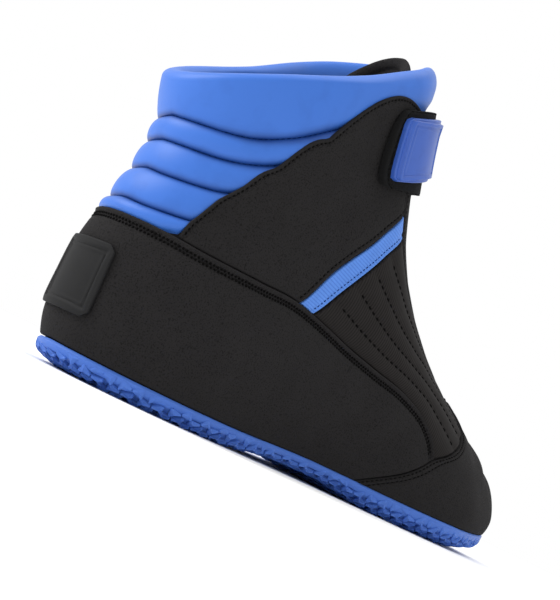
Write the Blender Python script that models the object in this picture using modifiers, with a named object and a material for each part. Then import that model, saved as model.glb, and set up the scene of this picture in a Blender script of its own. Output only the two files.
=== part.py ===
"""Right high-top training shoe: outsole, insole, hollow upper, padded cuff, tongue, overlays and strap.

Lengths are millimetres until a mesh is made, in metres. X points to the wearer's right (lateral side),
Y to the toe and Z up. The shoe stands on its sole at Z = 0, centred on its bounding box.
"""
import math

import bmesh
import bpy
import numpy as np

MM = 0.001
MERGE_DISTANCE = 0.00001
# Step on the last, in shares of a turn or of its height, that surface directions are taken over.
SURFACE_STEP = 0.002

# The last: one row for each ring around the foot, from the feather line up to the collar's rim.
# heel_y, heel_z and front_y, front_z place the ring's two ends, and rise bends the line between them.
# The four half widths shape its sides, heel_round and toe_round are the shares of its length that round
# off its ends, curve and swing set its centre line, and arch lifts its waist.
RING_COLUMNS = ("heel_y", "heel_z", "front_y", "front_z", "rise", "heel_half", "waist_half", "ball_half",
                "toe_half", "heel_round", "toe_round", "curve", "swing", "arch")
RINGS = (
    (-141, 6, 143, 15, 7.0, 38.0, 29.5, 54.5, 46.0, 0.18, 0.16, 1.00, 0, 2.5),
    (-146, 20, 147, 26, 5.5, 41.0, 33.5, 56.0, 47.0, 0.18, 0.16, 1.00, -1, 1.5),
    (-147, 36, 140, 41, 4.0, 41.5, 36.5, 51.0, 42.0, 0.19, 0.17, 0.97, -3, 0.5),
    (-147, 52, 114, 57, 2.6, 40.0, 37.0, 43.0, 35.0, 0.20, 0.20, 0.90, -5, 0.0),
    (-145, 66, 76, 75, 2.0, 38.0, 36.0, 38.0, 29.0, 0.23, 0.23, 0.80, -5, 0.0),
    (-142, 80, 38, 96, 1.6, 37.0, 36.0, 37.0, 28.0, 0.27, 0.25, 0.70, -4, 0.0),
    (-140, 94, 8, 121, 1.3, 36.5, 36.0, 36.5, 29.0, 0.32, 0.28, 0.60, -3, 0.0),
    (-141, 108, -14, 154, 1.05, 38.0, 37.5, 37.5, 31.0, 0.38, 0.31, 0.50, -2, 0.0),
    (-145, 122, -30, 190, 0.88, 41.0, 40.0, 39.0, 33.0, 0.43, 0.34, 0.45, -1, 0.0),
)
# Where along a ring its half widths hold, and the centre line's sideways shift there.
STATIONS = (0.0, 0.14, 0.43, 0.72, 0.93, 1.0)
STATION_HALVES = ("heel_half", "heel_half", "waist_half", "ball_half", "toe_half", "toe_half")
CENTRE_LINE = (-3.0, -3.0, 0.5, -2.5, -10.0, -9.0)
WAIST_STATION = 0.43
WAIST_SPREAD = 0.16

# Centre of the finished shoe's bounding box in the ring table's millimetres.
BOX_CENTRE_X = -3.6
BOX_CENTRE_Y = -1.5

UPPER_WALL = 2.4
OVERLAY_CLEARANCE = 1.0
OVERLAY_WALL = 1.1
LAYER_CLEARANCE = 0.7

# The black upper's top edge, where the blue cuff begins: columns are around and height.
UPPER_EDGE = ((0.000, 0.480), (0.060, 0.478), (0.079, 0.500), (0.090, 0.575), (0.102, 0.650),
              (0.120, 0.715), (0.141, 0.780), (0.160, 0.825), (0.186, 0.870), (0.220, 0.910),
              (0.256, 0.940), (0.300, 0.950), (0.500, 0.950))
EDGE_GAP = 0.008

# The throat's half width in millimetres: columns are height and half width. Its share of a turn is
# found by halving a range that ends at the widest it may be.
THROAT = ((0.475, 0.0), (0.540, 5.5), (0.620, 8.0), (0.750, 10.0), (0.900, 11.5), (1.050, 13.0))
WIDEST_THROAT = 0.2
THROAT_HALVINGS = 24

# The sole's rolled edge: columns are around, how far its flat bottom stops inside the feather line
# (millimetres) and the height that its top edge reaches on the upper.
SOLE_EDGE = ((0.00, 7.0, 0.030), (0.10, 4.5, 0.020), (0.22, 4.0, 0.015), (0.31, 9.0, 0.032),
             (0.40, 6.0, 0.030), (0.50, 7.0, 0.032), (0.60, 5.0, 0.022), (0.70, 4.0, 0.018),
             (0.78, 4.0, 0.015), (0.90, 4.5, 0.020), (1.00, 7.0, 0.030))
SOLE_WALL = 2.2
SOLE_CLEARANCE = 0.9
SOLE_TOP_GAP = 0.4
SOLE_ROLL = ((0.75, 0.10), (0.10, 0.45))
HEEL_FLAT = (-125.0, -74.0)
BALL_FLAT = (28.0, 74.0)
HEEL_LIP = 2.0
HEEL_LIP_LENGTH = 22.0
ARCH_RISE = 3.5
ARCH_CROWN = (-30.0, -8.0)
TOE_SPRING = 9.5
TOE_END_Y = 150.0
SPRING_BEND = 1.7

# Moulded plate under the waist: its middle, size, corner radius, relief and how deep it roots.
PLATE_MIDDLE = (3.5, -25.0)
PLATE_SIZE = (16.0, 37.5)
PLATE_CORNER = 4.0
PLATE_RELIEF = 0.9
PLATE_ROOT = 1.2
PLATE_CORNER_STEPS = 3

INSOLE_INSET = 4.2
INSOLE_THICKNESS = 4.0
INSOLE_GAP = 0.3

# Cuff ribs: columns are height and outward puff in millimetres, a groove between every two crests.
CUFF_RIBS = ((0.488, 0.3), (0.515, 2.0), (0.545, 0.5), (0.605, 2.4), (0.670, 0.6), (0.730, 2.6),
             (0.790, 0.7), (0.835, 2.8), (0.880, 0.9), (0.940, 3.2), (1.000, 3.0))
# A rib that the upper's edge covers is drawn flat, its rows this far apart.
CUFF_HIDDEN_PUFF = 0.4
CUFF_HIDDEN_STEP = 0.001
CUFF_INNER = -6.5
CUFF_FOOT_INNER = -3.4
CUFF_ROLL_RISE = 6.0
CUFF_ROLL_ANGLES = (40, 80, 120, 155)

TONGUE_WALL = 5.0
TONGUE_OUT = ((0.50, -3.4), (0.80, -4.5), (0.95, -8.0), (1.10, -8.5))
TONGUE_HALF = ((0.50, 0.085), (0.75, 0.120), (0.95, 0.150), (1.10, 0.140))
TONGUE_FOOT = 0.50
TONGUE_TOP = 1.04

# Seams on the lateral side: columns are around and height. The medial side mirrors them.
QUARTER_SEAM = ((0.000, 0.472), (0.056, 0.466), (0.102, 0.470), (0.156, 0.480), (0.185, 0.490),
                (0.200, 0.484), (0.218, 0.466), (0.238, 0.440), (0.260, 0.416), (0.283, 0.392),
                (0.296, 0.356))
TOE_SEAM = ((0.254, 0.048), (0.265, 0.088), (0.278, 0.150), (0.294, 0.225), (0.311, 0.265),
            (0.345, 0.330), (0.390, 0.400), (0.440, 0.455))
PANEL_FOOT = ((0.192, 0.503), (0.238, 0.640), (0.300, 0.752), (0.334, 0.790))
BAND_FOOT = ((0.208, 0.482), (0.250, 0.592), (0.310, 0.700), (0.339, 0.738))
OVERLAY_FOOT = 0.048
QUARTER_END_ROWS = 4
PANEL_REAR = 0.085
PANEL_REAR_FOOT = 0.484
PANEL_REAR_TOP = 0.530
PANEL_SEAM_RISE = 0.016
PANEL_TOP_SHIFT = 0.004
BAND_TOP_SHIFT = 0.001
SEAM_GAP = 0.006
EYESTAY_REAR = ((0.345, 0.946), (0.347, 0.850), (0.352, 0.735), (0.376, 0.610), (0.415, 0.500))
EYESTAY_TOP = 0.940
EYESTAY_FOOT = 0.505
VENT_CORNER = (0.222, 0.476)
VENT_LOW_CORNER = (0.309, 0.312)
VENT_FRONT_CORNER = (0.412, 0.458)
VENT_TOP_SHIFT = 0.004
VENT_SEAM_SHIFT = 0.008
VENT_FOOT_SHIFT = (-0.009, 0.012)
VENT_FRONT_SHIFT = -0.010
VENT_RIB_HEIGHT = 0.9
VENT_RIBS = 5

STRAP_END = ((0.302, 0.852), (0.290, 0.875), (0.285, 0.908), (0.289, 0.938), (0.300, 0.962))
STRAP_WALL = 1.8
PATCH_END = ((0.306, 0.866), (0.299, 0.885), (0.296, 0.908), (0.299, 0.932), (0.305, 0.950))
PATCH_FRONT = 0.352
PATCH_WALL = 1.8
PATCH_RIM_HEIGHT = 0.6

BADGE_HALF = 0.036
BADGE_FOOT = 0.140
BADGE_TOP = 0.365
BADGE_WALL = 1.3
BADGE_RIM_HEIGHT = 0.7
RIM_SHARE = 0.13

UPPER_COLUMNS = 46
UPPER_ROWS = 14
ROW_CROWDING = 1.25
SIDE_CROWDING = 0.15
SOLE_COLUMNS = 48
ACROSS = 3
# Columns and rows of each sheet's grid.
GRIDS = {
    "tongue": (8, 10),
    "quarter_band": (40, 6),
    "toe_panel": (26, 10),
    "ankle_panel": (18, 5),
    "trim_band": (10, 1),
    "vent_panel": (20, 5),
    "eyestay": (3, 10),
    "ankle_strap": (20, 4),
    "moulded_patch": (8, 8),
}

# Finishes: colour and roughness.
BLUE_RUBBER = ((0.060, 0.150, 0.560), 0.55)
BLUE_LEATHER = ((0.048, 0.150, 0.600), 0.42)
BLACK_NAP = ((0.012, 0.012, 0.013), 0.85)
BLACK_RUBBER = ((0.016, 0.016, 0.017), 0.50)
GREY_FOAM = ((0.030, 0.030, 0.033), 0.90)


def smooth_through(rows, at):
    """Value at one place on a smooth curve through rows whose first column is the place."""
    table = np.asarray(rows, float)
    places, values = table[:, 0], table[:, 1:]
    slopes = np.diff(values, axis=0) / np.diff(places)[:, None]
    tangents = np.vstack((slopes[:1], (slopes[1:] + slopes[:-1]) / 2, slopes[-1:]))
    row = int(np.clip(np.searchsorted(places, at, side="right") - 1, 0, len(places) - 2))
    step = places[row + 1] - places[row]
    s = (at - places[row]) / step
    start = (2 * s**3 - 3 * s**2 + 1) * values[row] + (s**3 - 2 * s**2 + s) * step * tangents[row]
    end = (3 * s**2 - 2 * s**3) * values[row + 1] + (s**3 - s**2) * step * tangents[row + 1]
    return start + end


def straight_through(rows, at):
    """Second column's value at one place, straight between the rows."""
    table = np.asarray(rows, float)
    return float(np.interp(at, table[:, 0], table[:, 1]))


def ramp(value, start, end):
    """Soft step from 0 at start to 1 at end."""
    share = min(max((value - start) / (end - start), 0.0), 1.0)
    return share * share * (3.0 - 2.0 * share)


RING_PLACES = np.linspace(0.0, 1.0, len(RINGS))
RING_ROWS = np.column_stack((RING_PLACES, np.asarray(RINGS, float)))


def ring_sizes(height):
    """Named sizes of the ring at a height from 0 at the feather line to 1 at the rim."""
    return dict(zip(RING_COLUMNS, smooth_through(RING_ROWS, height)))


def half_width(sizes, along):
    """Half width of a ring at a share of its length, rounded at heel and toe."""
    halves = [sizes[name] for name in STATION_HALVES]
    width = smooth_through(tuple(zip(STATIONS, halves)), along)[0]
    for share, rounding in ((along, sizes["heel_round"]), (1.0 - along, sizes["toe_round"])):
        if share < rounding:
            width *= math.sqrt(max(1.0 - (1.0 - share / rounding) ** 2, 0.0))
    return width


def last_point(around, height):
    """Point on the last: around is 0 at the back, 0.25 lateral, 0.5 in front and 0.75 medial."""
    sizes = ring_sizes(height)
    turn = 2.0 * math.pi * around
    along = (1.0 - math.cos(turn)) / 2.0
    side = math.copysign(1.0, math.sin(turn))
    shift = smooth_through(tuple(zip(STATIONS, CENTRE_LINE)), along)[0]
    centre = shift * sizes["curve"] + sizes["swing"] * along
    lift = sizes["arch"] * math.exp(-((along - WAIST_STATION) / WAIST_SPREAD) ** 2)
    return np.array((
        centre + side * half_width(sizes, along),
        sizes["heel_y"] + (sizes["front_y"] - sizes["heel_y"]) * along,
        sizes["heel_z"] + (sizes["front_z"] - sizes["heel_z"]) * along ** sizes["rise"] + lift,
    ))


def last_frame(around, height):
    """Outward and upward unit directions of the last's surface at a place."""
    step = SURFACE_STEP
    across = last_point(around + step, height) - last_point(around - step, height)
    upward = last_point(around, height + step) - last_point(around, height - step)
    outward = np.cross(across, upward)
    return outward / np.linalg.norm(outward), upward / np.linalg.norm(upward)


def skin_point(around, height, out=0.0):
    """Point on the last, pushed out by some millimetres along its surface."""
    outward, _ = last_frame(around, height)
    return last_point(around, height) + outward * out


def plan_outward(around, height=0.0):
    """Level unit direction pointing away from the foot."""
    step = SURFACE_STEP
    along = last_point(around + step, height) - last_point(around - step, height)
    outward = np.array((along[1], -along[0], 0.0))
    return outward / np.linalg.norm(outward)


def upper_edge(around):
    """Height of the black upper's top edge."""
    return straight_through(UPPER_EDGE, abs(around))


def throat_share(height):
    """Share of a turn that the open throat takes on each side of the front."""
    half = smooth_through(THROAT, height)[0]
    if height <= THROAT[0][0]:
        return 0.0
    sizes = ring_sizes(height)
    low, high = 0.0, WIDEST_THROAT
    for _ in range(THROAT_HALVINGS):
        middle = (low + high) / 2.0
        along = (1.0 - math.cos(2.0 * math.pi * (0.5 - middle))) / 2.0
        if half_width(sizes, along) < half:
            low = middle
        else:
            high = middle
    return low


def make_material(name, finish):
    """Principled material of one plain finish."""
    colour, roughness = finish
    material = bpy.data.materials.new(name)
    material.use_nodes = True
    shader = material.node_tree.nodes["Principled BSDF"]
    shader.inputs["Base Color"].default_value = (*colour, 1.0)
    shader.inputs["Roughness"].default_value = roughness
    shader.inputs["Metallic"].default_value = 0.0
    material.diffuse_color = (*colour, 1.0)
    return material


def make_object(name, points, faces, finish, collection):
    """Smooth mesh object from points in millimetres of the ring table."""
    shift = np.array((BOX_CENTRE_X, BOX_CENTRE_Y, 0.0))
    mesh = bpy.data.meshes.new(name)
    mesh.from_pydata([tuple((point - shift) * MM) for point in points], [], faces)
    builder = bmesh.new()
    builder.from_mesh(mesh)
    bmesh.ops.remove_doubles(builder, verts=builder.verts, dist=MERGE_DISTANCE)
    builder.to_mesh(mesh)
    builder.free()
    mesh.polygons.foreach_set("use_smooth", [True] * len(mesh.polygons))
    mesh.materials.append(make_material(name, finish))
    part = bpy.data.objects.new(name, mesh)
    collection.objects.link(part)
    return part


def face_outward(part):
    """Turn a closed mesh's faces outward."""
    builder = bmesh.new()
    builder.from_mesh(part.data)
    bmesh.ops.recalc_face_normals(builder, faces=builder.faces)
    builder.to_mesh(part.data)
    builder.free()


def grid_faces(rows, columns):
    """Quads of a grid whose points are listed row by row."""
    faces = []
    for row in range(rows - 1):
        for column in range(columns - 1):
            corner = row * columns + column
            faces.append((corner, corner + 1, corner + columns + 1, corner + columns))
    return faces


def make_sheet(name, grid, thickness, grows_out, finish, collection):
    """Sheet of even thickness on a grid of points, grown outward or inward by Solidify."""
    points = [point for row in grid for point in row]
    faces = grid_faces(len(grid), len(grid[0]))
    part = make_object(name, points, faces, finish, collection)
    shell = part.modifiers.new("thickness", "SOLIDIFY")
    shell.thickness = thickness * MM
    shell.offset = 1.0 if grows_out else -1.0
    shell.use_even_offset = True
    return part


def along_edge(edge, share):
    """Place at a share of an edge's length."""
    places = np.asarray(edge, float)
    lengths = np.concatenate(((0.0,), np.cumsum(np.linalg.norm(np.diff(places, axis=0), axis=1))))
    at = share * lengths[-1]
    return np.array((np.interp(at, lengths, places[:, 0]), np.interp(at, lengths, places[:, 1])))


def blend_edges(foot, top, start, end, s, r):
    """Place inside four edges: s runs along foot and top, r runs up start and end."""
    sides = (1 - s) * along_edge(start, r) + s * along_edge(end, r)
    levels = (1 - r) * along_edge(foot, s) + r * along_edge(top, s)
    low = (1 - s) * np.asarray(foot[0]) + s * np.asarray(foot[-1])
    high = (1 - s) * np.asarray(top[0]) + s * np.asarray(top[-1])
    return sides + levels - (1 - r) * low - r * high


def patch_grid(edges, size, out, side=1, relief=None):
    """Grid of points over a patch of the last; side -1 mirrors it to the medial side."""
    columns, rows = size
    grid = []
    for row in range(rows + 1):
        line = []
        for column in range(columns + 1):
            s, r = column / columns, row / rows
            around, height = blend_edges(*edges, s, r)
            raised = relief(s, r) if relief else 0.0
            line.append(skin_point(side * around, height, out + raised))
        grid.append(line if side > 0 else line[::-1])
    return grid


def shifted(edge, around=0.0, height=0.0):
    """An edge moved by a small step."""
    return tuple((place[0] + around, place[1] + height) for place in edge)


def mirrored(edge):
    """An edge on the other side of the shoe, with its points in the opposite order."""
    return tuple((-place[0], place[1]) for place in edge[::-1])


def sole_edge(around):
    """Inset of the sole's flat bottom and height of its top edge at a place around the shoe."""
    inset, top = smooth_through(SOLE_EDGE, around % 1.0)
    return inset, top


def floor_height(y):
    """Height of the sole's underside over the floor along the shoe."""
    lip = HEEL_LIP * (1.0 - ramp(y, HEEL_FLAT[0] - HEEL_LIP_LENGTH, HEEL_FLAT[0]))
    arch = ARCH_RISE * ramp(y, HEEL_FLAT[1], ARCH_CROWN[0])
    arch *= 1.0 - ramp(y, ARCH_CROWN[1], BALL_FLAT[0])
    toe = max(y - BALL_FLAT[1], 0.0) / (TOE_END_Y - BALL_FLAT[1])
    return lip + arch + TOE_SPRING * toe ** SPRING_BEND


def sole_section(around):
    """Outsole's section at a place around the shoe, from its flat bottom over the edge to the inside."""
    inset, top = sole_edge(around)
    outward = plan_outward(around)
    feather = last_point(around, 0.0)
    bottom = feather - outward * inset
    bottom[2] = floor_height(bottom[1])
    rim_in = skin_point(around, top, SOLE_CLEARANCE)
    rim_out = skin_point(around, top, SOLE_CLEARANCE + SOLE_WALL)
    section = [bottom]
    for inward, rise in SOLE_ROLL:
        point = rim_out + (bottom - rim_out) * inward
        point[2] = bottom[2] + (rim_out[2] - bottom[2]) * rise
        section.append(point)
    foot = feather + outward * SOLE_CLEARANCE
    foot[2] -= SOLE_TOP_GAP
    inner = feather - outward * INSOLE_INSET
    inner[2] -= SOLE_TOP_GAP
    return section + [rim_out, rim_in, foot, inner]


def insole_section(around):
    """Insole's side at a place around the shoe, bottom edge then top edge."""
    bottom = last_point(around, 0.0) - plan_outward(around) * INSOLE_INSET
    bottom[2] += INSOLE_GAP - SOLE_TOP_GAP
    top = bottom.copy()
    top[2] += INSOLE_THICKNESS
    return [bottom, top]


def make_slab(name, section, finish, collection):
    """Closed solid from one section swept around the shoe, capped across below and above."""
    count = SOLE_COLUMNS
    rings = list(zip(*[section(column / count) for column in range(count)]))
    points = [point for ring in rings for point in ring]
    faces = []
    for row in range(len(rings) - 1):
        for column in range(count):
            after = (column + 1) % count
            low, high = row * count, (row + 1) * count
            faces.append((low + column, low + after, high + after, high + column))
    add_cap(points, faces, 0, count)
    add_cap(points, faces, (len(rings) - 1) * count, count)
    part = make_object(name, points, faces, finish, collection)
    face_outward(part)
    return part


def add_cap(points, faces, first, count):
    """Close a ring across the shoe with rows of points from its lateral to its medial side."""
    rows = []
    for column in range(1, count // 2):
        lateral, medial = first + column, first + count - column
        row = [lateral]
        for step in range(1, ACROSS + 1):
            share = step / (ACROSS + 1)
            row.append(len(points))
            points.append(points[lateral] * (1 - share) + points[medial] * share)
        rows.append(row + [medial])
    for here, ahead in zip(rows, rows[1:]):
        for step in range(ACROSS + 1):
            faces.append((here[step], here[step + 1], ahead[step + 1], ahead[step]))
    for row, end in ((rows[0], first), (rows[-1], first + count // 2)):
        for step in range(ACROSS + 1):
            faces.append((row[step], row[step + 1], end))


def make_plate(collection):
    """Block for the moulded plate under the waist, leaning along the arch."""
    middle_x, middle_y = PLATE_MIDDLE
    half_length = PLATE_SIZE[1] / 2.0
    ends = [floor_height(middle_y - half_length), floor_height(middle_y + half_length)]
    bpy.ops.mesh.primitive_cube_add(size=1.0)
    plate = bpy.context.active_object
    plate.name = "plate_block"
    plate.scale = (PLATE_SIZE[0] * MM, PLATE_SIZE[1] * MM, (PLATE_RELIEF + PLATE_ROOT) * MM)
    bpy.ops.object.transform_apply(location=False, rotation=False, scale=True)
    plate.rotation_euler[0] = math.atan2(ends[1] - ends[0], PLATE_SIZE[1])
    level = sum(ends) / 2.0 + (PLATE_ROOT - PLATE_RELIEF) / 2.0
    plate.location = ((middle_x - BOX_CENTRE_X) * MM, (middle_y - BOX_CENTRE_Y) * MM, level * MM)
    rounding = plate.modifiers.new("corners", "BEVEL")
    rounding.width = PLATE_CORNER * MM
    rounding.segments = PLATE_CORNER_STEPS
    rounding.limit_method = "WEIGHT"
    weights = plate.data.attributes.new("bevel_weight_edge", "FLOAT", "EDGE")
    for edge in plate.data.edges:
        low, high = (plate.data.vertices[index].co for index in edge.vertices)
        weights.data[edge.index].value = 1.0 if abs(low.z - high.z) > PLATE_RELIEF * MM else 0.0
    plate.hide_render = True
    plate.display_type = "WIRE"
    for home in list(plate.users_collection):
        home.objects.unlink(plate)
    collection.objects.link(plate)
    return plate


def make_outsole(collection, tools):
    """Thin rubber outsole with a rolled edge, arch, toe spring and the plate under its waist."""
    sole = make_slab("outsole", sole_section, BLUE_RUBBER, collection)
    joining = sole.modifiers.new("plate", "BOOLEAN")
    joining.operation = "UNION"
    joining.solver = "EXACT"
    joining.object = make_plate(tools)


def make_insole(collection):
    """Flat insole lying on the outsole inside the upper."""
    make_slab("insole", insole_section, GREY_FOAM, collection)


def column_place(column, height):
    """Place around of one of the upper's columns, from the throat's medial edge to its lateral edge."""
    turn = column / UPPER_COLUMNS - 0.5
    evened = turn + SIDE_CROWDING * math.sin(4.0 * math.pi * turn) / (4.0 * math.pi)
    return evened * (1.0 - 2.0 * throat_share(height))


def make_upper(collection):
    """Hollow upper, open at the collar, the throat and underneath."""
    grid = []
    for row in range(UPPER_ROWS + 1):
        share = (row / UPPER_ROWS) ** ROW_CROWDING
        line = []
        for column in range(UPPER_COLUMNS + 1):
            around = column_place(column, share * upper_edge(0.5))
            line.append(skin_point(around, share * upper_edge(around)))
        grid.append(line)
    make_sheet("upper", grid, UPPER_WALL, False, BLACK_NAP, collection)


def cuff_section(around):
    """Closed section of the padded cuff: ribbed outside, round rim, smooth inside."""
    foot = upper_edge(around) + EDGE_GAP
    section = []
    for step, (height, puff) in enumerate(CUFF_RIBS):
        lowest = foot + CUFF_HIDDEN_STEP * step
        out = CUFF_HIDDEN_PUFF if height < lowest else puff
        section.append(skin_point(around, max(height, lowest), out))
    outward, upward = last_frame(around, 1.0)
    rim = last_point(around, 1.0)
    crest = CUFF_RIBS[-1][1]
    radius = (crest - CUFF_INNER) / 2.0
    for angle in CUFF_ROLL_ANGLES:
        turn = math.radians(angle)
        out = CUFF_INNER + radius + radius * math.cos(turn)
        section.append(rim + outward * out + upward * CUFF_ROLL_RISE * math.sin(turn))
    section.append(skin_point(around, 1.0, CUFF_INNER))
    section.append(skin_point(around, (1.0 + foot) / 2.0, (CUFF_INNER + CUFF_FOOT_INNER) / 2.0))
    section.append(skin_point(around, foot, CUFF_FOOT_INNER))
    return section


def make_cuff(collection):
    """Padded cuff lofted around the ankle from one side of the throat to the other."""
    sections = [cuff_section(column_place(column, 1.0)) for column in range(UPPER_COLUMNS + 1)]
    size = len(sections[0])
    points = [point for section in sections for point in section]
    faces = []
    for column in range(UPPER_COLUMNS):
        for step in range(size):
            here, ahead = column * size, (column + 1) * size
            after = (step + 1) % size
            faces.append((here + step, here + after, ahead + after, ahead + step))
    faces.append(tuple(range(size)))
    faces.append(tuple(range(UPPER_COLUMNS * size, (UPPER_COLUMNS + 1) * size)))
    part = make_object("collar_cuff", points, faces, BLUE_LEATHER, collection)
    face_outward(part)


def make_tongue(collection):
    """Padded tongue behind the throat, standing a little above the rim."""
    columns, rows = GRIDS["tongue"]
    grid = []
    for row in range(rows + 1):
        height = TONGUE_FOOT + (TONGUE_TOP - TONGUE_FOOT) * row / rows
        half = straight_through(TONGUE_HALF, height)
        out = straight_through(TONGUE_OUT, height)
        spread = [half * (2.0 * column / columns - 1.0) for column in range(columns + 1)]
        grid.append([skin_point(0.5 + share, height, out) for share in spread])
    make_sheet("tongue", grid, TONGUE_WALL, False, BLACK_NAP, collection)


def make_quarter_band(collection):
    """Low band around heel and sides, from the sole's edge to the quarter seam."""
    seam = mirrored(QUARTER_SEAM)[:-1] + QUARTER_SEAM
    end = shifted(TOE_SEAM[:QUARTER_END_ROWS], -SEAM_GAP) + QUARTER_SEAM[-1:]
    start = mirrored(end)[::-1]
    foot = (start[0], (0.0, OVERLAY_FOOT), end[0])
    grid = patch_grid((foot, seam, start, end), GRIDS["quarter_band"], OVERLAY_CLEARANCE)
    make_sheet("quarter_band", grid, OVERLAY_WALL, True, BLACK_NAP, collection)


def make_toe_panel(collection):
    """Front panel over the toes, ahead of the toe seam."""
    start = TOE_SEAM
    end = tuple((1.0 - place[0], place[1]) for place in TOE_SEAM)
    foot, top = (start[0], end[0]), (start[-1], end[-1])
    grid = patch_grid((foot, top, start, end), GRIDS["toe_panel"], OVERLAY_CLEARANCE)
    make_sheet("toe_panel", grid, OVERLAY_WALL, True, BLACK_NAP, collection)


def make_ankle_panel(side, name, collection):
    """Ankle panel between quarter seam, cuff and trim band."""
    first, last = PANEL_REAR, PANEL_FOOT[-1][0]
    seam = tuple(place for place in QUARTER_SEAM if first < place[0] < PANEL_FOOT[0][0])
    foot = ((first, PANEL_REAR_FOOT),) + shifted(seam, 0.0, PANEL_SEAM_RISE) + PANEL_FOOT
    rim = tuple(place for place in UPPER_EDGE if first < place[0] < last)
    top = ((first, PANEL_REAR_TOP),) + rim + ((last, upper_edge(last)),)
    top = shifted(top, PANEL_TOP_SHIFT, -SEAM_GAP)
    edges = (foot, top, (foot[0], top[0]), (foot[-1], top[-1]))
    grid = patch_grid(edges, GRIDS["ankle_panel"], OVERLAY_CLEARANCE, side)
    make_sheet(name, grid, OVERLAY_WALL, True, BLACK_NAP, collection)


def make_trim_band(side, name, collection):
    """Narrow blue band under the ankle panel's lower edge."""
    top = shifted(PANEL_FOOT, BAND_TOP_SHIFT, -2 * SEAM_GAP)
    edges = (BAND_FOOT, top, (BAND_FOOT[0], top[0]), (BAND_FOOT[-1], top[-1]))
    grid = patch_grid(edges, GRIDS["trim_band"], OVERLAY_CLEARANCE, side)
    make_sheet(name, grid, OVERLAY_WALL, True, BLUE_LEATHER, collection)


def vent_relief(s, r):
    """Stitched channels of the vent panel, running down it."""
    return VENT_RIB_HEIGHT * abs(math.sin(math.pi * VENT_RIBS * s)) if 0.0 < r < 1.0 else 0.0


def make_vent_panel(side, name, collection):
    """Channelled panel between quarter seam, trim band, eyestay and toe seam."""
    top = (VENT_CORNER,) + shifted(BAND_FOOT[1:], VENT_TOP_SHIFT, -2 * SEAM_GAP)
    foot = (VENT_LOW_CORNER,) + shifted(TOE_SEAM[-3:-1], *VENT_FOOT_SHIFT) + (VENT_FRONT_CORNER,)
    seam = tuple(place for place in QUARTER_SEAM if place[0] > VENT_CORNER[0])
    start = (foot[0],) + shifted(seam[::-1], VENT_SEAM_SHIFT, VENT_SEAM_SHIFT) + (top[0],)
    end = (foot[-1],) + shifted(EYESTAY_REAR[-2:-1], VENT_FRONT_SHIFT) + (top[-1],)
    edges = (foot, top, start, end)
    grid = patch_grid(edges, GRIDS["vent_panel"], OVERLAY_CLEARANCE, side, vent_relief)
    make_sheet(name, grid, OVERLAY_WALL, True, BLACK_NAP, collection)


def make_eyestay(side, name, collection):
    """Strip along one side of the throat."""
    columns, rows = GRIDS["eyestay"]
    grid = []
    for row in range(rows + 1):
        height = EYESTAY_FOOT + (EYESTAY_TOP - EYESTAY_FOOT) * row / rows
        rear = straight_through([(place[1], place[0]) for place in EYESTAY_REAR[::-1]], height)
        front = 0.5 - throat_share(height) - SEAM_GAP
        line = []
        for column in range(columns + 1):
            around = rear + (front - rear) * column / columns
            line.append(skin_point(side * around, height, OVERLAY_CLEARANCE))
        grid.append(line if side > 0 else line[::-1])
    make_sheet(name, grid, OVERLAY_WALL, True, BLACK_NAP, collection)


STRAP_OUT = OVERLAY_CLEARANCE + OVERLAY_WALL + LAYER_CLEARANCE
PATCH_OUT = STRAP_OUT + STRAP_WALL + LAYER_CLEARANCE
BADGE_OUT = OVERLAY_CLEARANCE + OVERLAY_WALL + LAYER_CLEARANCE


def make_strap(collection):
    """Ankle strap across the front of the shaft, with round ends."""
    start = STRAP_END
    end = tuple((1.0 - place[0], place[1]) for place in STRAP_END)
    edges = ((start[0], end[0]), (start[-1], end[-1]), start, end)
    grid = patch_grid(edges, GRIDS["ankle_strap"], STRAP_OUT)
    make_sheet("ankle_strap", grid, STRAP_WALL, True, BLACK_NAP, collection)


def rim_relief(height):
    """Raised border of a moulded patch."""
    def relief(s, r):
        on_border = min(s, 1.0 - s, r, 1.0 - r) < RIM_SHARE
        return height if on_border else 0.0
    return relief


def make_strap_patch(collection):
    """Moulded blue patch on the strap's lateral end."""
    front = tuple((PATCH_FRONT, place[1]) for place in PATCH_END)
    edges = ((PATCH_END[0], front[0]), (PATCH_END[-1], front[-1]), PATCH_END, front)
    grid = patch_grid(edges, GRIDS["moulded_patch"], PATCH_OUT, 1, rim_relief(PATCH_RIM_HEIGHT))
    make_sheet("strap_patch", grid, PATCH_WALL, True, BLUE_RUBBER, collection)


def make_heel_badge(collection):
    """Moulded rubber badge on the back of the heel, with a raised border."""
    foot = ((-BADGE_HALF, BADGE_FOOT), (BADGE_HALF, BADGE_FOOT))
    top = ((-BADGE_HALF, BADGE_TOP), (BADGE_HALF, BADGE_TOP))
    edges = (foot, top, (foot[0], top[0]), (foot[1], top[1]))
    grid = patch_grid(edges, GRIDS["moulded_patch"], BADGE_OUT, 1, rim_relief(BADGE_RIM_HEIGHT))
    make_sheet("heel_badge", grid, BADGE_WALL, True, BLACK_RUBBER, collection)


def clear_scene():
    """Remove every object that the file opens with."""
    for thing in list(bpy.data.objects):
        bpy.data.objects.remove(thing, do_unlink=True)


def main():
    """Build the shoe in a collection of its own."""
    clear_scene()
    collection = bpy.data.collections.new("high_top_training_shoe")
    bpy.context.scene.collection.children.link(collection)
    tools = bpy.data.collections.new("joining_blocks")
    bpy.context.scene.collection.children.link(tools)
    make_outsole(collection, tools)
    make_insole(collection)
    make_upper(collection)
    make_cuff(collection)
    make_tongue(collection)
    make_quarter_band(collection)
    make_toe_panel(collection)
    for side, label in ((1, "lateral"), (-1, "medial")):
        make_ankle_panel(side, "ankle_panel_" + label, collection)
        make_trim_band(side, "trim_band_" + label, collection)
        make_vent_panel(side, "vent_panel_" + label, collection)
        make_eyestay(side, "eyestay_" + label, collection)
    make_strap(collection)
    make_strap_patch(collection)
    make_heel_badge(collection)


main()
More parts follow.
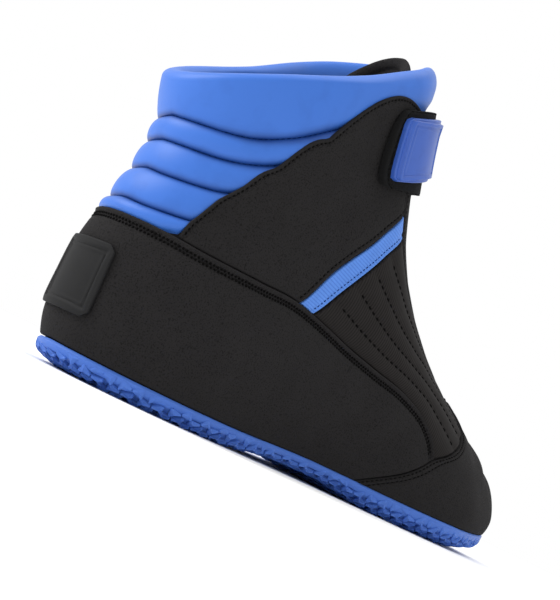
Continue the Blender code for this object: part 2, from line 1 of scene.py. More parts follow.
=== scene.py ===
"""Looks of a right high-top training shoe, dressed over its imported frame.

Lengths are millimetres of the ring table until a mesh is made, in metres. A place on the shoe is (around,
height): around is 0 at the back, 0.25 lateral, 0.5 in front and 0.75 medial, and height runs from 0 at the
feather line to 1 at the collar's rim.
"""
import math
from collections import namedtuple

import bmesh
import bpy
import numpy as np
from mathutils import Matrix, Vector


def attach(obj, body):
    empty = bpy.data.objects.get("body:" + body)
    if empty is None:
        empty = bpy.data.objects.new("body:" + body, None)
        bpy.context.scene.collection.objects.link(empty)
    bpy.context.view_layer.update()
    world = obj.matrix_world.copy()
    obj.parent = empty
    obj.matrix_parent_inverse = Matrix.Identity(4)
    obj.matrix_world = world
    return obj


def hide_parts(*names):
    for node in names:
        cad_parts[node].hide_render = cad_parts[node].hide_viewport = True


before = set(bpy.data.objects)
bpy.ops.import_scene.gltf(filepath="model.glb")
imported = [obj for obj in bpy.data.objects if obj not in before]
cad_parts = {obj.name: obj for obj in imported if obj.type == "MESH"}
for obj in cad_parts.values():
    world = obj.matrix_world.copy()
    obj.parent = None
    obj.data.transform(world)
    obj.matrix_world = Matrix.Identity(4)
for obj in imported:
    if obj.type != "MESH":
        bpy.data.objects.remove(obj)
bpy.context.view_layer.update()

MM = 0.001
# Step on the last, in shares of a turn or of its height, that surface directions are taken over.
SURFACE_STEP = 0.002
# A mesh's painted shading is added to its material's pattern and shifts it from dark to light: painted
# highlights above this neutral level, painted shade below it.
NEUTRAL_SHADING = 0.5
CLOTH_SHEEN = 0.015
# A wave texture of this scale repeats once in one unit of length.
WAVE_SCALE = math.pi / 10.0
# Bump of a material: its pattern, its strength and its depth in millimetres.
Relief = namedtuple("Relief", "pattern strength depth")
# Sockets of a mix node that blends colours.
MIX_FACTOR, MIX_FIRST, MIX_SECOND, MIX_RESULT = 0, 6, 7, 2

# The last: one row for each ring around the foot, from the feather line up to the collar's rim.
RING_COLUMNS = ("heel_y", "heel_z", "front_y", "front_z", "rise", "heel_half", "waist_half", "ball_half",
                "toe_half", "heel_round", "toe_round", "curve", "swing", "arch")
RINGS = (
    (-141, 6, 143, 15, 7.0, 38.0, 29.5, 54.5, 46.0, 0.18, 0.16, 1.00, 0, 2.5),
    (-146, 20, 147, 26, 5.5, 41.0, 33.5, 56.0, 47.0, 0.18, 0.16, 1.00, -1, 1.5),
    (-147, 36, 140, 41, 4.0, 41.5, 36.5, 51.0, 42.0, 0.19, 0.17, 0.97, -3, 0.5),
    (-147, 52, 114, 57, 2.6, 40.0, 37.0, 43.0, 35.0, 0.20, 0.20, 0.90, -5, 0.0),
    (-145, 66, 76, 75, 2.0, 38.0, 36.0, 38.0, 29.0, 0.23, 0.23, 0.80, -5, 0.0),
    (-142, 80, 38, 96, 1.6, 37.0, 36.0, 37.0, 28.0, 0.27, 0.25, 0.70, -4, 0.0),
    (-140, 94, 8, 121, 1.3, 36.5, 36.0, 36.5, 29.0, 0.32, 0.28, 0.60, -3, 0.0),
    (-141, 108, -14, 154, 1.05, 38.0, 37.5, 37.5, 31.0, 0.38, 0.31, 0.50, -2, 0.0),
    (-145, 122, -30, 190, 0.88, 41.0, 40.0, 39.0, 33.0, 0.43, 0.34, 0.45, -1, 0.0),
)
STATIONS = (0.0, 0.14, 0.43, 0.72, 0.93, 1.0)
STATION_HALVES = ("heel_half", "heel_half", "waist_half", "ball_half", "toe_half", "toe_half")
CENTRE_LINE = (-3.0, -3.0, 0.5, -2.5, -10.0, -9.0)
WAIST_STATION = 0.43
WAIST_SPREAD = 0.16
BOX_CENTRE = np.array((-3.6, -1.5, 0.0))
RING_ROWS = np.column_stack((np.linspace(0.0, 1.0, len(RINGS)), np.asarray(RINGS, float)))
STATION_ROWS = np.column_stack((STATIONS, np.eye(len(STATIONS))))

# Wall, edges and clearances of the upper and the cuff.
UPPER_WALL = 2.4
UPPER_EDGE = ((0.000, 0.480), (0.060, 0.478), (0.079, 0.500), (0.090, 0.575), (0.102, 0.650),
              (0.120, 0.715), (0.141, 0.780), (0.160, 0.825), (0.186, 0.870), (0.220, 0.910),
              (0.256, 0.940), (0.300, 0.950), (0.500, 0.950))
EDGE_GAP = 0.008
CUFF_TUCK = 0.030
THROAT = ((0.475, 0.0), (0.540, 5.5), (0.620, 8.0), (0.750, 10.0), (0.900, 11.5), (1.050, 13.0))
WIDEST_THROAT = 0.2
THROAT_HALVINGS = 24
# Mesh of the upper, whose points are joined where they are nearer than a weld, in metres.
UPPER_COLUMNS = 200
UPPER_ROWS = 48
UPPER_WELD = 0.00001

# The sole's rolled edge: around, inset of its flat bottom (millimetres) and height of its top edge.
SOLE_EDGE = ((0.00, 7.0, 0.030), (0.10, 4.5, 0.020), (0.22, 4.0, 0.015), (0.31, 9.0, 0.032),
             (0.40, 6.0, 0.030), (0.50, 7.0, 0.032), (0.60, 5.0, 0.022), (0.70, 4.0, 0.018),
             (0.78, 4.0, 0.015), (0.90, 4.5, 0.020), (1.00, 7.0, 0.030))
SOLE_WALL = 2.2
SOLE_CLEARANCE = 0.9
SOLE_TOP_GAP = 0.4
# Profile of the rolled edge from the flat underside to the rim: share of the way out and of the way up.
SOLE_ROLL = ((0.0, 0.0), (0.25, 0.10), (0.90, 0.45), (1.0, 1.0))
SOLE_RIM_CROWN = 0.7
SOLE_RIM_SHARES = (0.2, 0.5, 0.8)
HEEL_FLAT = (-125.0, -74.0)
BALL_FLAT = (28.0, 74.0)
HEEL_LIP = 2.0
HEEL_LIP_LENGTH = 22.0
ARCH_RISE = 3.5
ARCH_CROWN = (-30.0, -8.0)
TOE_SPRING = 9.5
TOE_END_Y = 150.0
SPRING_BEND = 1.7
SOLE_COLUMNS = 360
SOLE_ROLL_ROWS = 16
SOLE_ACROSS = 24
# Edges sharper than this many degrees stay crisp.
SOLE_SHARP = 17.0

# Tread: lugs stand on a recessed floor and fade out on the rolled edge.
LUG_HEIGHT = 2.0
LUG_PITCH = (6.94, 10.9)
# The tread fades between these shares of the rolled edge's length, and lugs are held below the last share.
LUG_FADE = (0.62, 1.0)
LUG_LAST = 0.96
# One lug seen from above: reach and radius of its corners, squeeze along the shoe, and angles of their arcs.
LUG_REACH = 3.2
LUG_ROUND = 0.9
LUG_SQUEEZE = 0.90
LUG_CORNERS = (60.0, 180.0, 300.0)
LUG_TURNS = (-60.0, -20.0, 20.0, 60.0)
# Rows of a lug from root to middle: size, then millimetres below its tip on its ridges and between them.
LUG_ROWS = ((1.12, 2.35, 2.35), (1.0, 0.25, 0.85), (0.45, 0.08, 0.55), (0.06, 0.0, 0.05))
# Painted shading of the tread: slight painted shade on its floor and the lugs' faces, dark painted shade at
# the lugs' roots and a painted highlight along their ridges.
RECESS_SHADE = 0.48
ROOT_SHADE = 0.15
LUG_FACE_SHADE = 0.46
RIDGE_HIGHLIGHT = 0.82
PLATE_MIDDLE = (3.5, -25.0)
PLATE_SIZE = (16.0, 37.5)
PLATE_CORNER = 4.0
PLATE_ARC_STEPS = 5
# Rows of the plate from frame to field: millimetres outside its outline and below the lugs' tips.
PLATE_ROWS = ((2.8, -3.2), (2.8, -0.4), (2.4, -0.1), (1.6, -0.1), (1.2, -1.6), (0.4, -1.6),
              (0.1, 0.3), (-0.3, 0.6), (-1.0, 0.6), (-1.3, 0.3), (-6.0, 0.3))
PLATE_MARGIN = 3.6

INSOLE_INSET = 4.2
INSOLE_THICKNESS = 4.0
INSOLE_GAP = 0.3
# Rows of the insole's edge from its underside up: millimetres inside its outline and above its underside.
INSOLE_ROWS = ((0.6, 0.0), (0.0, 0.6), (0.0, INSOLE_THICKNESS - 1.0), (0.4, INSOLE_THICKNESS - 0.3),
               (1.2, INSOLE_THICKNESS))

# Cuff: around, then heights of the grooves between its ribs, lowest first.
GROOVES = ((0.00, 0.543, 0.675, 0.793, 0.885), (0.04, 0.538, 0.667, 0.787, 0.875),
           (0.09, 0.556, 0.680, 0.786, 0.864), (0.12, 0.585, 0.703, 0.796, 0.865),
           (0.16, 0.640, 0.750, 0.822, 0.884), (0.21, 0.700, 0.800, 0.862, 0.917),
           (0.30, 0.760, 0.845, 0.900, 0.944), (0.50, 0.780, 0.860, 0.905, 0.944))
GROOVE_PUFF = 0.2
RIB_PUFF = 2.9
ROLL_PUFF = 3.6
RIB_SHARPNESS = 0.50
ROLL_TOP = 1.13
# Reach of the painted shade beside each groove, in shares of height.
GROOVE_SHADE = 0.012
CUFF_INNER = -6.5
CUFF_FOOT_INNER = -3.4
CUFF_ROLL_RISE = ((0.00, 4.8), (0.13, 3.4), (0.23, 3.2), (0.30, 6.5), (0.36, 8.5), (0.50, 8.0))
CUFF_COLUMNS = 300
CUFF_RIB_ROWS = 16
CUFF_LOWEST_RIB = 0.04
CUFF_LEAST_RIB = 0.004
CUFF_FOOT_OUT = -0.8
CUFF_STITCH_OUT = 0.2
CUFF_ROLL_ROWS = 18
CUFF_INNER_ROWS = 16
CUFF_END_ROUND = 7.0
CUFF_END_LEAST = 0.15

TONGUE_WALL = 5.0
TONGUE_OUT = ((0.50, -3.4), (0.80, -4.5), (0.95, -8.0), (1.10, -8.5))
TONGUE_HALF = ((0.50, 0.085), (0.75, 0.120), (0.95, 0.150), (1.10, 0.140))
TONGUE_FOOT = 0.50
TONGUE_TOP = 1.04
TONGUE_CREST = 0.02
TONGUE_ROUND = 0.075
TONGUE_ROWS = 90
TONGUE_COLUMNS = 60
# The tongue's rolled edge, with the least distance from the border that it is rolled at, and its seam.
TONGUE_ROLL = 4.0
TONGUE_EDGE = 0.2
TONGUE_SEAM = 6.0
TONGUE_SEAM_WIDTH = 1.0
TONGUE_SEAM_DEPTH = 0.7

# Seams of the lateral side, shared by the pieces on both sides of them. The medial side mirrors them.
QUARTER_SEAM = ((0.000, 0.486), (0.040, 0.484), (0.075, 0.480), (0.102, 0.474), (0.156, 0.481),
                (0.185, 0.490), (0.200, 0.484), (0.218, 0.466), (0.238, 0.440), (0.260, 0.416),
                (0.283, 0.390), (0.294, 0.355))
QUARTER_TIP = ((0.2965, 0.318), (0.2965, 0.280), (0.2945, 0.234))
TOE_SEAM_FOOT = 0.254
TOE_SEAM = ((0.265, 0.088), (0.278, 0.150), (0.2945, 0.226), (0.311, 0.265), (0.345, 0.330), (0.390, 0.400),
            (0.440, 0.455))
TOE_SEAM_SPLIT = 3
TOE_TOP = (0.500, 0.463)
PANEL_REAR = 0.079
PANEL_CORNER = 0.194
PANEL_FOOT = ((0.238, 0.640), (0.297, 0.752), (0.336, 0.802))
BAND_CORNER = 0.207
BAND_FOOT = ((0.247, 0.602), (0.300, 0.711), (0.3395, 0.762))
EYESTAY_REAR = ((0.342, 0.955), (0.337, 0.850), (0.342, 0.755), (0.370, 0.610), (0.411, 0.505),
                (0.430, 0.462))
EYESTAY_TOP = 0.955
EYESTAY_FOOT = 0.488
# Gaps at the seams and above the sole's rim, and how many places follow each curved border.
SEAM_AROUND = 0.0009
SEAM_UP = 0.0030
FOOT_RISE = 0.006
VENT_CLEARANCE = 0.005
SEAM_POINTS = 9
RIM_POINTS = 60
THROAT_POINTS = 12
QUARTER_FOOT_POINTS = 41
TOE_FOOT_POINTS = 31
# Notches of the ankle panel's top edge, where it dips into the cuff's grooves, and the bulges between them.
NOTCHES = ((0.079, 0.500), (0.117, 0.704), (0.151, 0.810), (0.198, 0.898), (0.345, 0.945))
BULGES = (0.012, 0.014, 0.014, 0.050)
COVER = 0.010
# A soft piece starts to rise this far below the cuff's edge, and bridges a groove over these steps.
OVER_RISE = 0.05
BRIDGE_STEPS = (-0.024, -0.012, 0.0, 0.012, 0.024)
# The strap squeezes the cuff by this share between these places, and its stiff ends stand off the shaft.
SQUEEZE = 0.6
SQUEEZE_AROUND = (0.235, 0.275)
SQUEEZE_FOOT = (0.80, 0.84)
SQUEEZE_TOP = (0.960, 0.985)
STIFF_ENDS = (0.10, 0.19)

# Outer levels of the sewn pieces over the last, and what lies under them.
UNDER_LEVEL = 0.15
VENT_LEVEL = 1.2
BAND_LEVEL = 1.5
ANKLE_LEVEL = 1.9
QUARTER_LEVEL = 2.3
TOE_LEVEL = 2.4
# Ridges along seams: borders, height, distance from the border and half width in millimetres.
QUARTER_LIP = (("top",), 0.9, 0.0, 1.6)
TOE_WELT = (("start", "end"), 0.55, 3.2, 1.6)
VENT_RIBS = 5
VENT_RIB_HEIGHT = 0.75
VENT_RIB_SHARPNESS = 0.6
STRAP_UNDER = 2.7
STRAP_LEVEL = 5.4
STRAP_END = ((0.293, 0.838), (0.2795, 0.841), (0.2745, 0.855), (0.2750, 0.905), (0.2775, 0.945),
             (0.2825, 0.960), (0.294, 0.966))
PATCH_END = ((0.2875, 0.851), (0.2820, 0.855), (0.2810, 0.868), (0.2835, 0.944), (0.2855, 0.952),
             (0.2910, 0.955))
PATCH_FRONT = ((0.362, 0.862), (0.362, 0.957))
PATCH_LEDGE = (1.5, 1.9)
PATCH_LEDGE_DROP = 1.5
PATCH_UNDER = 5.5
PATCH_LEVEL = 9.4
PATCH_RIM = 3.4
BADGE_HALF = 0.036
BADGE_FOOT = 0.140
BADGE_TOP = 0.365
BADGE_CUT = 0.18
BADGE_UNDER = 2.7
BADGE_LEVEL = 4.0
BADGE_RIM = 3.0
# Moulded patches: a thin line inside the raised rim, and the step down to the field.
MOULD_LINE_INSET = 1.3
MOULD_LINE_WIDTH = 0.35
MOULD_LINE_HEIGHT = 0.35
MOULD_FIELD_DEPTH = 0.7
MOULD_STEP = 0.3

# Soft creases of the upper: places along each, half width and depth in millimetres. Ridges are negative.
CREASES = (
    (((0.236, 0.09), (0.260, 0.20), (0.284, 0.33)), 4.5, 1.05),
    (((0.212, 0.11), (0.238, 0.24), (0.262, 0.37)), 5.5, 0.80),
    (((0.225, 0.10), (0.249, 0.22), (0.273, 0.35)), 4.5, -0.55),
    (((0.070, 0.13), (0.115, 0.17), (0.165, 0.14)), 8.0, 0.65),
    (((0.282, 0.850), (0.225, 0.765), (0.150, 0.640)), 6.0, 0.80),
    (((0.300, 0.800), (0.245, 0.705), (0.205, 0.590)), 6.0, -0.65),
    (((0.150, 0.530), (0.175, 0.620), (0.215, 0.700)), 5.0, 0.50),
    (((0.345, 0.270), (0.430, 0.375), (0.500, 0.400)), 4.5, 1.20),
    (((0.340, 0.200), (0.430, 0.295), (0.500, 0.320)), 5.0, 0.90),
    (((0.342, 0.235), (0.430, 0.335), (0.500, 0.360)), 4.5, -0.60),
)
CREASE_SAMPLES = 48
# Slow unevenness of soft pieces: wave vector in radians per millimetre and height in millimetres.
WAVES = (((0.21, 0.09, 0.13), 0.10), ((-0.08, 0.17, 0.24), 0.08), ((0.13, -0.26, 0.06), 0.07))

# A stitch along its length: share, height, half width (millimetres).
STITCH_RINGS = ((-0.50, -0.16, 0.08), (-0.34, 0.08, 0.21), (0.0, 0.17, 0.25), (0.34, 0.08, 0.21),
                (0.50, -0.16, 0.08))
STITCH_SIDES = 6
STITCH_FLATNESS = 0.75
STITCH_FILL = 0.66
# Millimetres that rows leave bare of stitches at both ends.
STITCH_TRIM = 2.0
STRAP_TRIM = 4.0
VENT_TRIM = 3.0
# Stitches of a row: pitch in millimetres, thickness where 1 is usual, and sway to both sides.
CUFF_STITCH = (2.3, 1.1)
VENT_STITCH = (3.8, 1.9)
# Rows of the sewn pieces: border, distance from it, and stitches. A row without stitches is only a trough.
QUARTER_ROWS = (("top", 2.6, 1.7, 1.9, 0.3), ("top", 4.0, 1.7, 1.9, 0.3))
TOE_ROWS = (("start", 1.5, 2.3, 1.3), ("start", 5.2, 2.3, 1.3), ("end", 1.5, 2.3, 1.3),
            ("end", 5.2, 2.3, 1.3), ("top", 2.2, 2.3, 1.3))
ANKLE_ROWS = (("start", 1.6, 2.0, 1.3), ("end", 2.6, 2.4, 1.3), ("top", 2.0))
BAND_ROWS = (("foot", 2.0, 2.0, 0.9),)
EYESTAY_ROWS = (("start", 2.0, 2.4), ("end", 2.4, 2.4))
STRAP_ROWS = (("foot", 2.2, 2.4), ("top", 2.2, 2.4), ("start", 2.2, 2.4), ("end", 2.2, 2.4))
# Painted highlight along a sewn piece's folded borders: its width and strength. Painted shade in its
# stitched troughs, whose depth and width also shape the piece.
FOLD_WIDTH = 1.0
FOLD_HIGHLIGHT = 0.13
TROUGH_SHADE = 0.10
TROUGH_DEPTH = 0.45
TROUGH_WIDTH = 0.85
# Share of a sewn piece's thickness that is left at its border.
EDGE_SHARE = 0.35
# Rough millimetres in one unit of around and of height, to share out an edge's length.
PLACE_SCALE = np.array((600.0, 150.0))
EDGE_SAMPLES = 60
# Spacing of a sewn piece's mesh at its borders: shares of the roll, then fine steps up to a reach.
ROLL_SHARES = np.array((0.0, 0.08, 0.3, 0.7, 1.2))
FINE_STEP = 0.55
FINE_REACH = 6.5

# Camera in metres and degrees: the photo's angle round the shoe, roll and lens, just above the floor.
CAMERA_AZIMUTH = 44.0
CAMERA_HEIGHT = 0.012
CAMERA_DISTANCE = 0.505
CAMERA_AIM = (-0.024, -0.023, 0.073)
CAMERA_ROLL = 25.7
CAMERA_LENS = 63.3
CAMERA_CLIP = 0.01
SENSOR = 36.0
FLOOR_SIZE = 30.0
FLOOR_DROP = 0.00005
# Soft square lights: name, place and size in metres, and power. All are aimed at one point.
LIGHTS = (("key", (-0.75, -1.15, 0.9), 0.9, 18.0), ("top", (0.1, 0.2, 1.6), 1.2, 8.0))
LIGHT_AIM = (0.0, 0.0, 0.08)


def smooth_through(rows, at):
    """Values at many places on smooth curves through rows whose first column is the place."""
    table = np.asarray(rows, float)
    at = np.asarray(at, float)
    places, values = table[:, 0], table[:, 1:]
    slopes = np.diff(values, axis=0) / np.diff(places)[:, None]
    tangents = np.vstack((slopes[:1], (slopes[1:] + slopes[:-1]) / 2, slopes[-1:]))
    row = np.clip(np.searchsorted(places, at, side="right") - 1, 0, len(places) - 2)
    step = (places[row + 1] - places[row])[..., None]
    s = (at - places[row])[..., None] / step
    start = (2 * s**3 - 3 * s**2 + 1) * values[row] + (s**3 - 2 * s**2 + s) * step * tangents[row]
    end = (3 * s**2 - 2 * s**3) * values[row + 1] + (s**3 - s**2) * step * tangents[row + 1]
    return start + end


def straight_through(rows, at):
    """Second column's value at many places, straight between the rows."""
    table = np.asarray(rows, float)
    return np.interp(at, table[:, 0], table[:, 1])


def ramp(value, start, end):
    """Soft step from 0 at start to 1 at end."""
    share = np.clip((np.asarray(value, float) - start) / (end - start), 0.0, 1.0)
    return share * share * (3.0 - 2.0 * share)


def fullness(distance, radius):
    """How full a rolled edge is at a distance from its border: 0 there, 1 past the radius."""
    short = np.clip(1.0 - np.asarray(distance, float) / radius, 0.0, 1.0)
    return np.sqrt(1.0 - short * short)


def ring_sizes(height):
    """Named sizes of the rings at some heights."""
    return dict(zip(RING_COLUMNS, np.moveaxis(smooth_through(RING_ROWS, height), -1, 0)))


def half_width(sizes, along):
    """Half width of rings at shares of their length, rounded at heel and toe."""
    halves = np.stack([sizes[name] for name in STATION_HALVES], axis=-1)
    width = (smooth_through(STATION_ROWS, along) * halves).sum(-1)
    return width * fullness(along, sizes["heel_round"]) * fullness(1.0 - along, sizes["toe_round"])


def last_points(around, height):
    """Points on the last."""
    around, height = np.broadcast_arrays(np.asarray(around, float), np.asarray(height, float))
    sizes = ring_sizes(height)
    turn = 2.0 * np.pi * around
    along = (1.0 - np.cos(turn)) / 2.0
    shift = smooth_through(STATION_ROWS, along) @ np.array(CENTRE_LINE)
    centre = shift * sizes["curve"] + sizes["swing"] * along
    lift = sizes["arch"] * np.exp(-((along - WAIST_STATION) / WAIST_SPREAD) ** 2)
    return np.stack((
        centre + np.copysign(1.0, np.sin(turn)) * half_width(sizes, along),
        sizes["heel_y"] + (sizes["front_y"] - sizes["heel_y"]) * along,
        sizes["heel_z"] + (sizes["front_z"] - sizes["heel_z"]) * along ** sizes["rise"] + lift,
    ), axis=-1)


def unit(vectors):
    """Vectors brought to length 1."""
    return vectors / np.linalg.norm(vectors, axis=-1, keepdims=True)


def run_lengths(points):
    """Length along a line at each of its points."""
    return np.concatenate(((0.0,), np.cumsum(np.linalg.norm(np.diff(points, axis=0), axis=1))))


def last_upward(around, height):
    """Upward unit directions along the last's surface."""
    above = last_points(around, np.asarray(height) + SURFACE_STEP)
    return unit(above - last_points(around, np.asarray(height) - SURFACE_STEP))


def last_outward(around, height):
    """Outward unit directions of the last's surface."""
    ahead = last_points(np.asarray(around) + SURFACE_STEP, height)
    across = ahead - last_points(np.asarray(around) - SURFACE_STEP, height)
    return unit(np.cross(across, last_upward(around, height)))


def skin_points(around, height, out):
    """Points on the last, pushed out by some millimetres along its surface."""
    return last_points(around, height) + last_outward(around, height) * np.asarray(out)[..., None]


def plan_outward(around):
    """Level unit directions pointing away from the foot at the feather line."""
    along = last_points(around + SURFACE_STEP, 0.0) - last_points(around - SURFACE_STEP, 0.0)
    return unit(np.stack((along[..., 1], -along[..., 0], np.zeros_like(along[..., 0])), axis=-1))


def upper_edge(around):
    """Height of the black upper's top edge."""
    return straight_through(UPPER_EDGE, np.abs(around))


def throat_share(height):
    """Share of a turn that the open throat takes on each side of the front."""
    if height <= THROAT[0][0]:
        return 0.0
    half = smooth_through(THROAT, height)[0]
    sizes = ring_sizes(height)
    low, high = 0.0, WIDEST_THROAT
    for _ in range(THROAT_HALVINGS):
        middle = (low + high) / 2.0
        along = (1.0 - math.cos(2.0 * math.pi * (0.5 - middle))) / 2.0
        if half_width(sizes, along) < half:
            low = middle
        else:
            high = middle
    return low


def seam_height(around):
    """Height of the quarter seam."""
    return smooth_through(QUARTER_SEAM, np.abs(around))[..., 0]


def sole_top(around):
    """Height that the sole's rim reaches on the upper."""
    return smooth_through(SOLE_EDGE, np.asarray(around) % 1.0)[..., 1]


def unevenness(points):
    """Slow waves that keep soft pieces from looking turned."""
    return sum(height * np.sin(points @ np.array(wave)) for wave, height in WAVES)


def crease_depth(points):
    """Depth of the soft creases at some points of the upper, on both sides of the shoe."""
    depth = np.zeros(points.shape[:-1])
    for places, width, deep in CREASES:
        line = smooth_edge(places)(np.linspace(0.0, 1.0, CREASE_SAMPLES))
        fade = np.sqrt(np.sin(np.linspace(0.0, np.pi, CREASE_SAMPLES)))
        for side in (1, -1):
            track = last_points(side * line[:, 0], line[:, 1])
            gaps = np.linalg.norm(points[..., None, :] - track, axis=-1)
            near = gaps.argmin(-1)
            depth += deep * fade[near] * np.exp(-((gaps.min(-1) / width) ** 2))
    return depth


# Materials

def start_material(name, roughness, gloss, sheen=0.0):
    """Principled material with its constant values set on the shader."""
    material = bpy.data.materials.new(name)
    material.use_nodes = True
    shader = material.node_tree.nodes["Principled BSDF"]
    values = {"Roughness": roughness, "Specular IOR Level": gloss, "Sheen Weight": sheen}
    for socket, value in values.items():
        shader.inputs[socket].default_value = value
    return material


def add_node(material, kind, links=(), values=()):
    """Node of a material's tree, with some inputs linked to outputs and some set to values."""
    tree = material.node_tree
    node = tree.nodes.new(kind)
    for socket, output in links:
        tree.links.new(output, node.inputs[socket])
    for socket, value in values:
        node.inputs[socket].default_value = value
    return node


def mesh_value(material, attribute, output):
    """A value that the mesh carries for each of its points."""
    node = add_node(material, "ShaderNodeAttribute")
    node.attribute_name = attribute
    return node.outputs[output]


def object_place(material):
    """Place on the shoe in metres."""
    return add_node(material, "ShaderNodeTexCoord").outputs["Object"]


def cloth_place(material, slant):
    """Place across and up a sewn piece in metres, turned by some degrees."""
    links = [("Vector", mesh_value(material, "lay", "Vector"))]
    values = [("Rotation", (0.0, 0.0, math.radians(slant)))]
    return add_node(material, "ShaderNodeMapping", links, values).outputs[0]


def noise(material, size, detail=3.0):
    """Noise whose features are about one size across, in millimetres."""
    links = [("Vector", object_place(material))]
    values = [("Scale", 1.0 / (size * MM)), ("Detail", detail)]
    return add_node(material, "ShaderNodeTexNoise", links, values).outputs[0]


def pebbles(material, size):
    """Rounded cells about one size across, in millimetres."""
    links = [("Vector", object_place(material))]
    node = add_node(material, "ShaderNodeTexVoronoi", links, [("Scale", 1.0 / (size * MM))])
    return node.outputs["Distance"]


def bands(material, size, slant):
    """Fine parallel ribs of a cloth, one size apart in millimetres."""
    links = [("Vector", cloth_place(material, slant))]
    values = [("Scale", WAVE_SCALE / (size * MM)), ("Distortion", 0.0)]
    return add_node(material, "ShaderNodeTexWave", links, values).outputs[1]


def two_tone(material, factor, dark, light, start=0.3, end=0.7):
    """Colour that goes from dark to light with a pattern."""
    node = add_node(material, "ShaderNodeValToRGB", [("Fac", factor)])
    for element, place, colour in zip(node.color_ramp.elements, (start, end), (dark, light)):
        element.position = place
        element.color = (*colour, 1.0)
    return node.outputs["Color"]


def mottle(material, size, dark, light):
    """Slow noise between two greys."""
    return two_tone(material, noise(material, size), (dark,) * 3, (light,) * 3)


def blend_colour(material, colour, tint):
    """Colour multiplied by a tint."""
    node = material.node_tree.nodes.new("ShaderNodeMix")
    node.data_type = "RGBA"
    node.blend_type = "MULTIPLY"
    node.inputs[MIX_FACTOR].default_value = 1.0
    material.node_tree.links.new(colour, node.inputs[MIX_FIRST])
    material.node_tree.links.new(tint, node.inputs[MIX_SECOND])
    return node.outputs[MIX_RESULT]


def with_painted_shading(material, pattern):
    """Pattern shifted by the mesh's painted shading: a painted highlight on folded edges and painted shade
    in seams, grooves and recesses.
    """
    links = [(0, mesh_value(material, "painted_shading", "Fac")), (1, pattern)]
    return add_node(material, "ShaderNodeMath", links).outputs[0]


def finish_material(material, colour, *reliefs):
    """Link the colour, and bump from a chain of reliefs."""
    tree = material.node_tree
    shader = tree.nodes["Principled BSDF"]
    tree.links.new(colour, shader.inputs["Base Color"])
    normal = None
    for relief in reliefs:
        links = [("Height", relief.pattern)] + ([("Normal", normal)] if normal else [])
        values = [("Strength", relief.strength), ("Distance", relief.depth * MM)]
        normal = add_node(material, "ShaderNodeBump", links, values).outputs["Normal"]
    tree.links.new(normal, shader.inputs["Normal"])
    return material


def make_nap(name, dark, light):
    """Short nap: matt and finely speckled."""
    material = start_material(name, roughness=0.95, gloss=0.05, sheen=CLOTH_SHEEN)
    fibre = noise(material, size=0.6, detail=4.0)
    colour = two_tone(material, with_painted_shading(material, fibre), dark, light, start=0.78, end=1.22)
    colour = blend_colour(material, colour, mottle(material, size=12.0, dark=0.90, light=1.0))
    lumps = Relief(noise(material, size=6.0), strength=0.08, depth=0.5)
    return finish_material(material, colour, lumps, Relief(fibre, strength=0.6, depth=0.4))


def make_leather(name, dark, light):
    """Smooth soft leather with a faint fine grain and painted shade in its stitched grooves."""
    material = start_material(name, roughness=0.45, gloss=0.22)
    faint = mottle(material, size=9.0, dark=0.45, light=0.55)
    colour = two_tone(material, with_painted_shading(material, faint), dark, light, start=0.40, end=1.05)
    lumps = Relief(noise(material, size=3.0), strength=0.05, depth=0.3)
    grain = Relief(pebbles(material, size=0.7), strength=0.07, depth=0.10)
    return finish_material(material, colour, lumps, grain)


def make_rubber(name, dark, light, roughness, gloss):
    """Moulded rubber with a fine matt skin and painted shade in its recesses."""
    material = start_material(name, roughness, gloss)
    faint = mottle(material, size=5.0, dark=0.45, light=0.55)
    colour = two_tone(material, with_painted_shading(material, faint), dark, light, start=0.48, end=1.05)
    return finish_material(material, colour, Relief(noise(material, size=0.5), strength=0.16, depth=0.12))


def make_weave(name, dark, light, size, slant, roughness):
    """Woven cloth with fine slanting ribs, laid along its piece."""
    material = start_material(name, roughness, gloss=0.1, sheen=CLOTH_SHEEN)
    ribs = bands(material, size, slant)
    colour = two_tone(material, with_painted_shading(material, ribs), dark, light, start=0.50, end=1.40)
    colour = blend_colour(material, colour, mottle(material, size=6.0, dark=0.90, light=1.0))
    fibre = Relief(noise(material, size=0.35), strength=0.25, depth=0.15)
    return finish_material(material, colour, Relief(ribs, strength=0.25, depth=0.20), fibre)


def make_knit(name, dark, light, size):
    """Fine knitted or spun cloth with small round cells."""
    material = start_material(name, roughness=0.9, gloss=0.05, sheen=CLOTH_SHEEN)
    cells = pebbles(material, size)
    colour = two_tone(material, cells, light, dark, start=0.15, end=0.75)
    lumps = Relief(noise(material, size=4.0), strength=0.15, depth=0.4)
    return finish_material(material, colour, lumps, Relief(cells, strength=-0.5, depth=0.25))


def make_floor_material():
    """Plain pale floor with a barely visible mottle."""
    material = start_material("pale_floor", roughness=0.9, gloss=0.0)
    colour = mottle(material, size=400.0, dark=0.985, light=1.0)
    return finish_material(material, colour, Relief(noise(material, size=2.0), strength=0.02, depth=0.05))


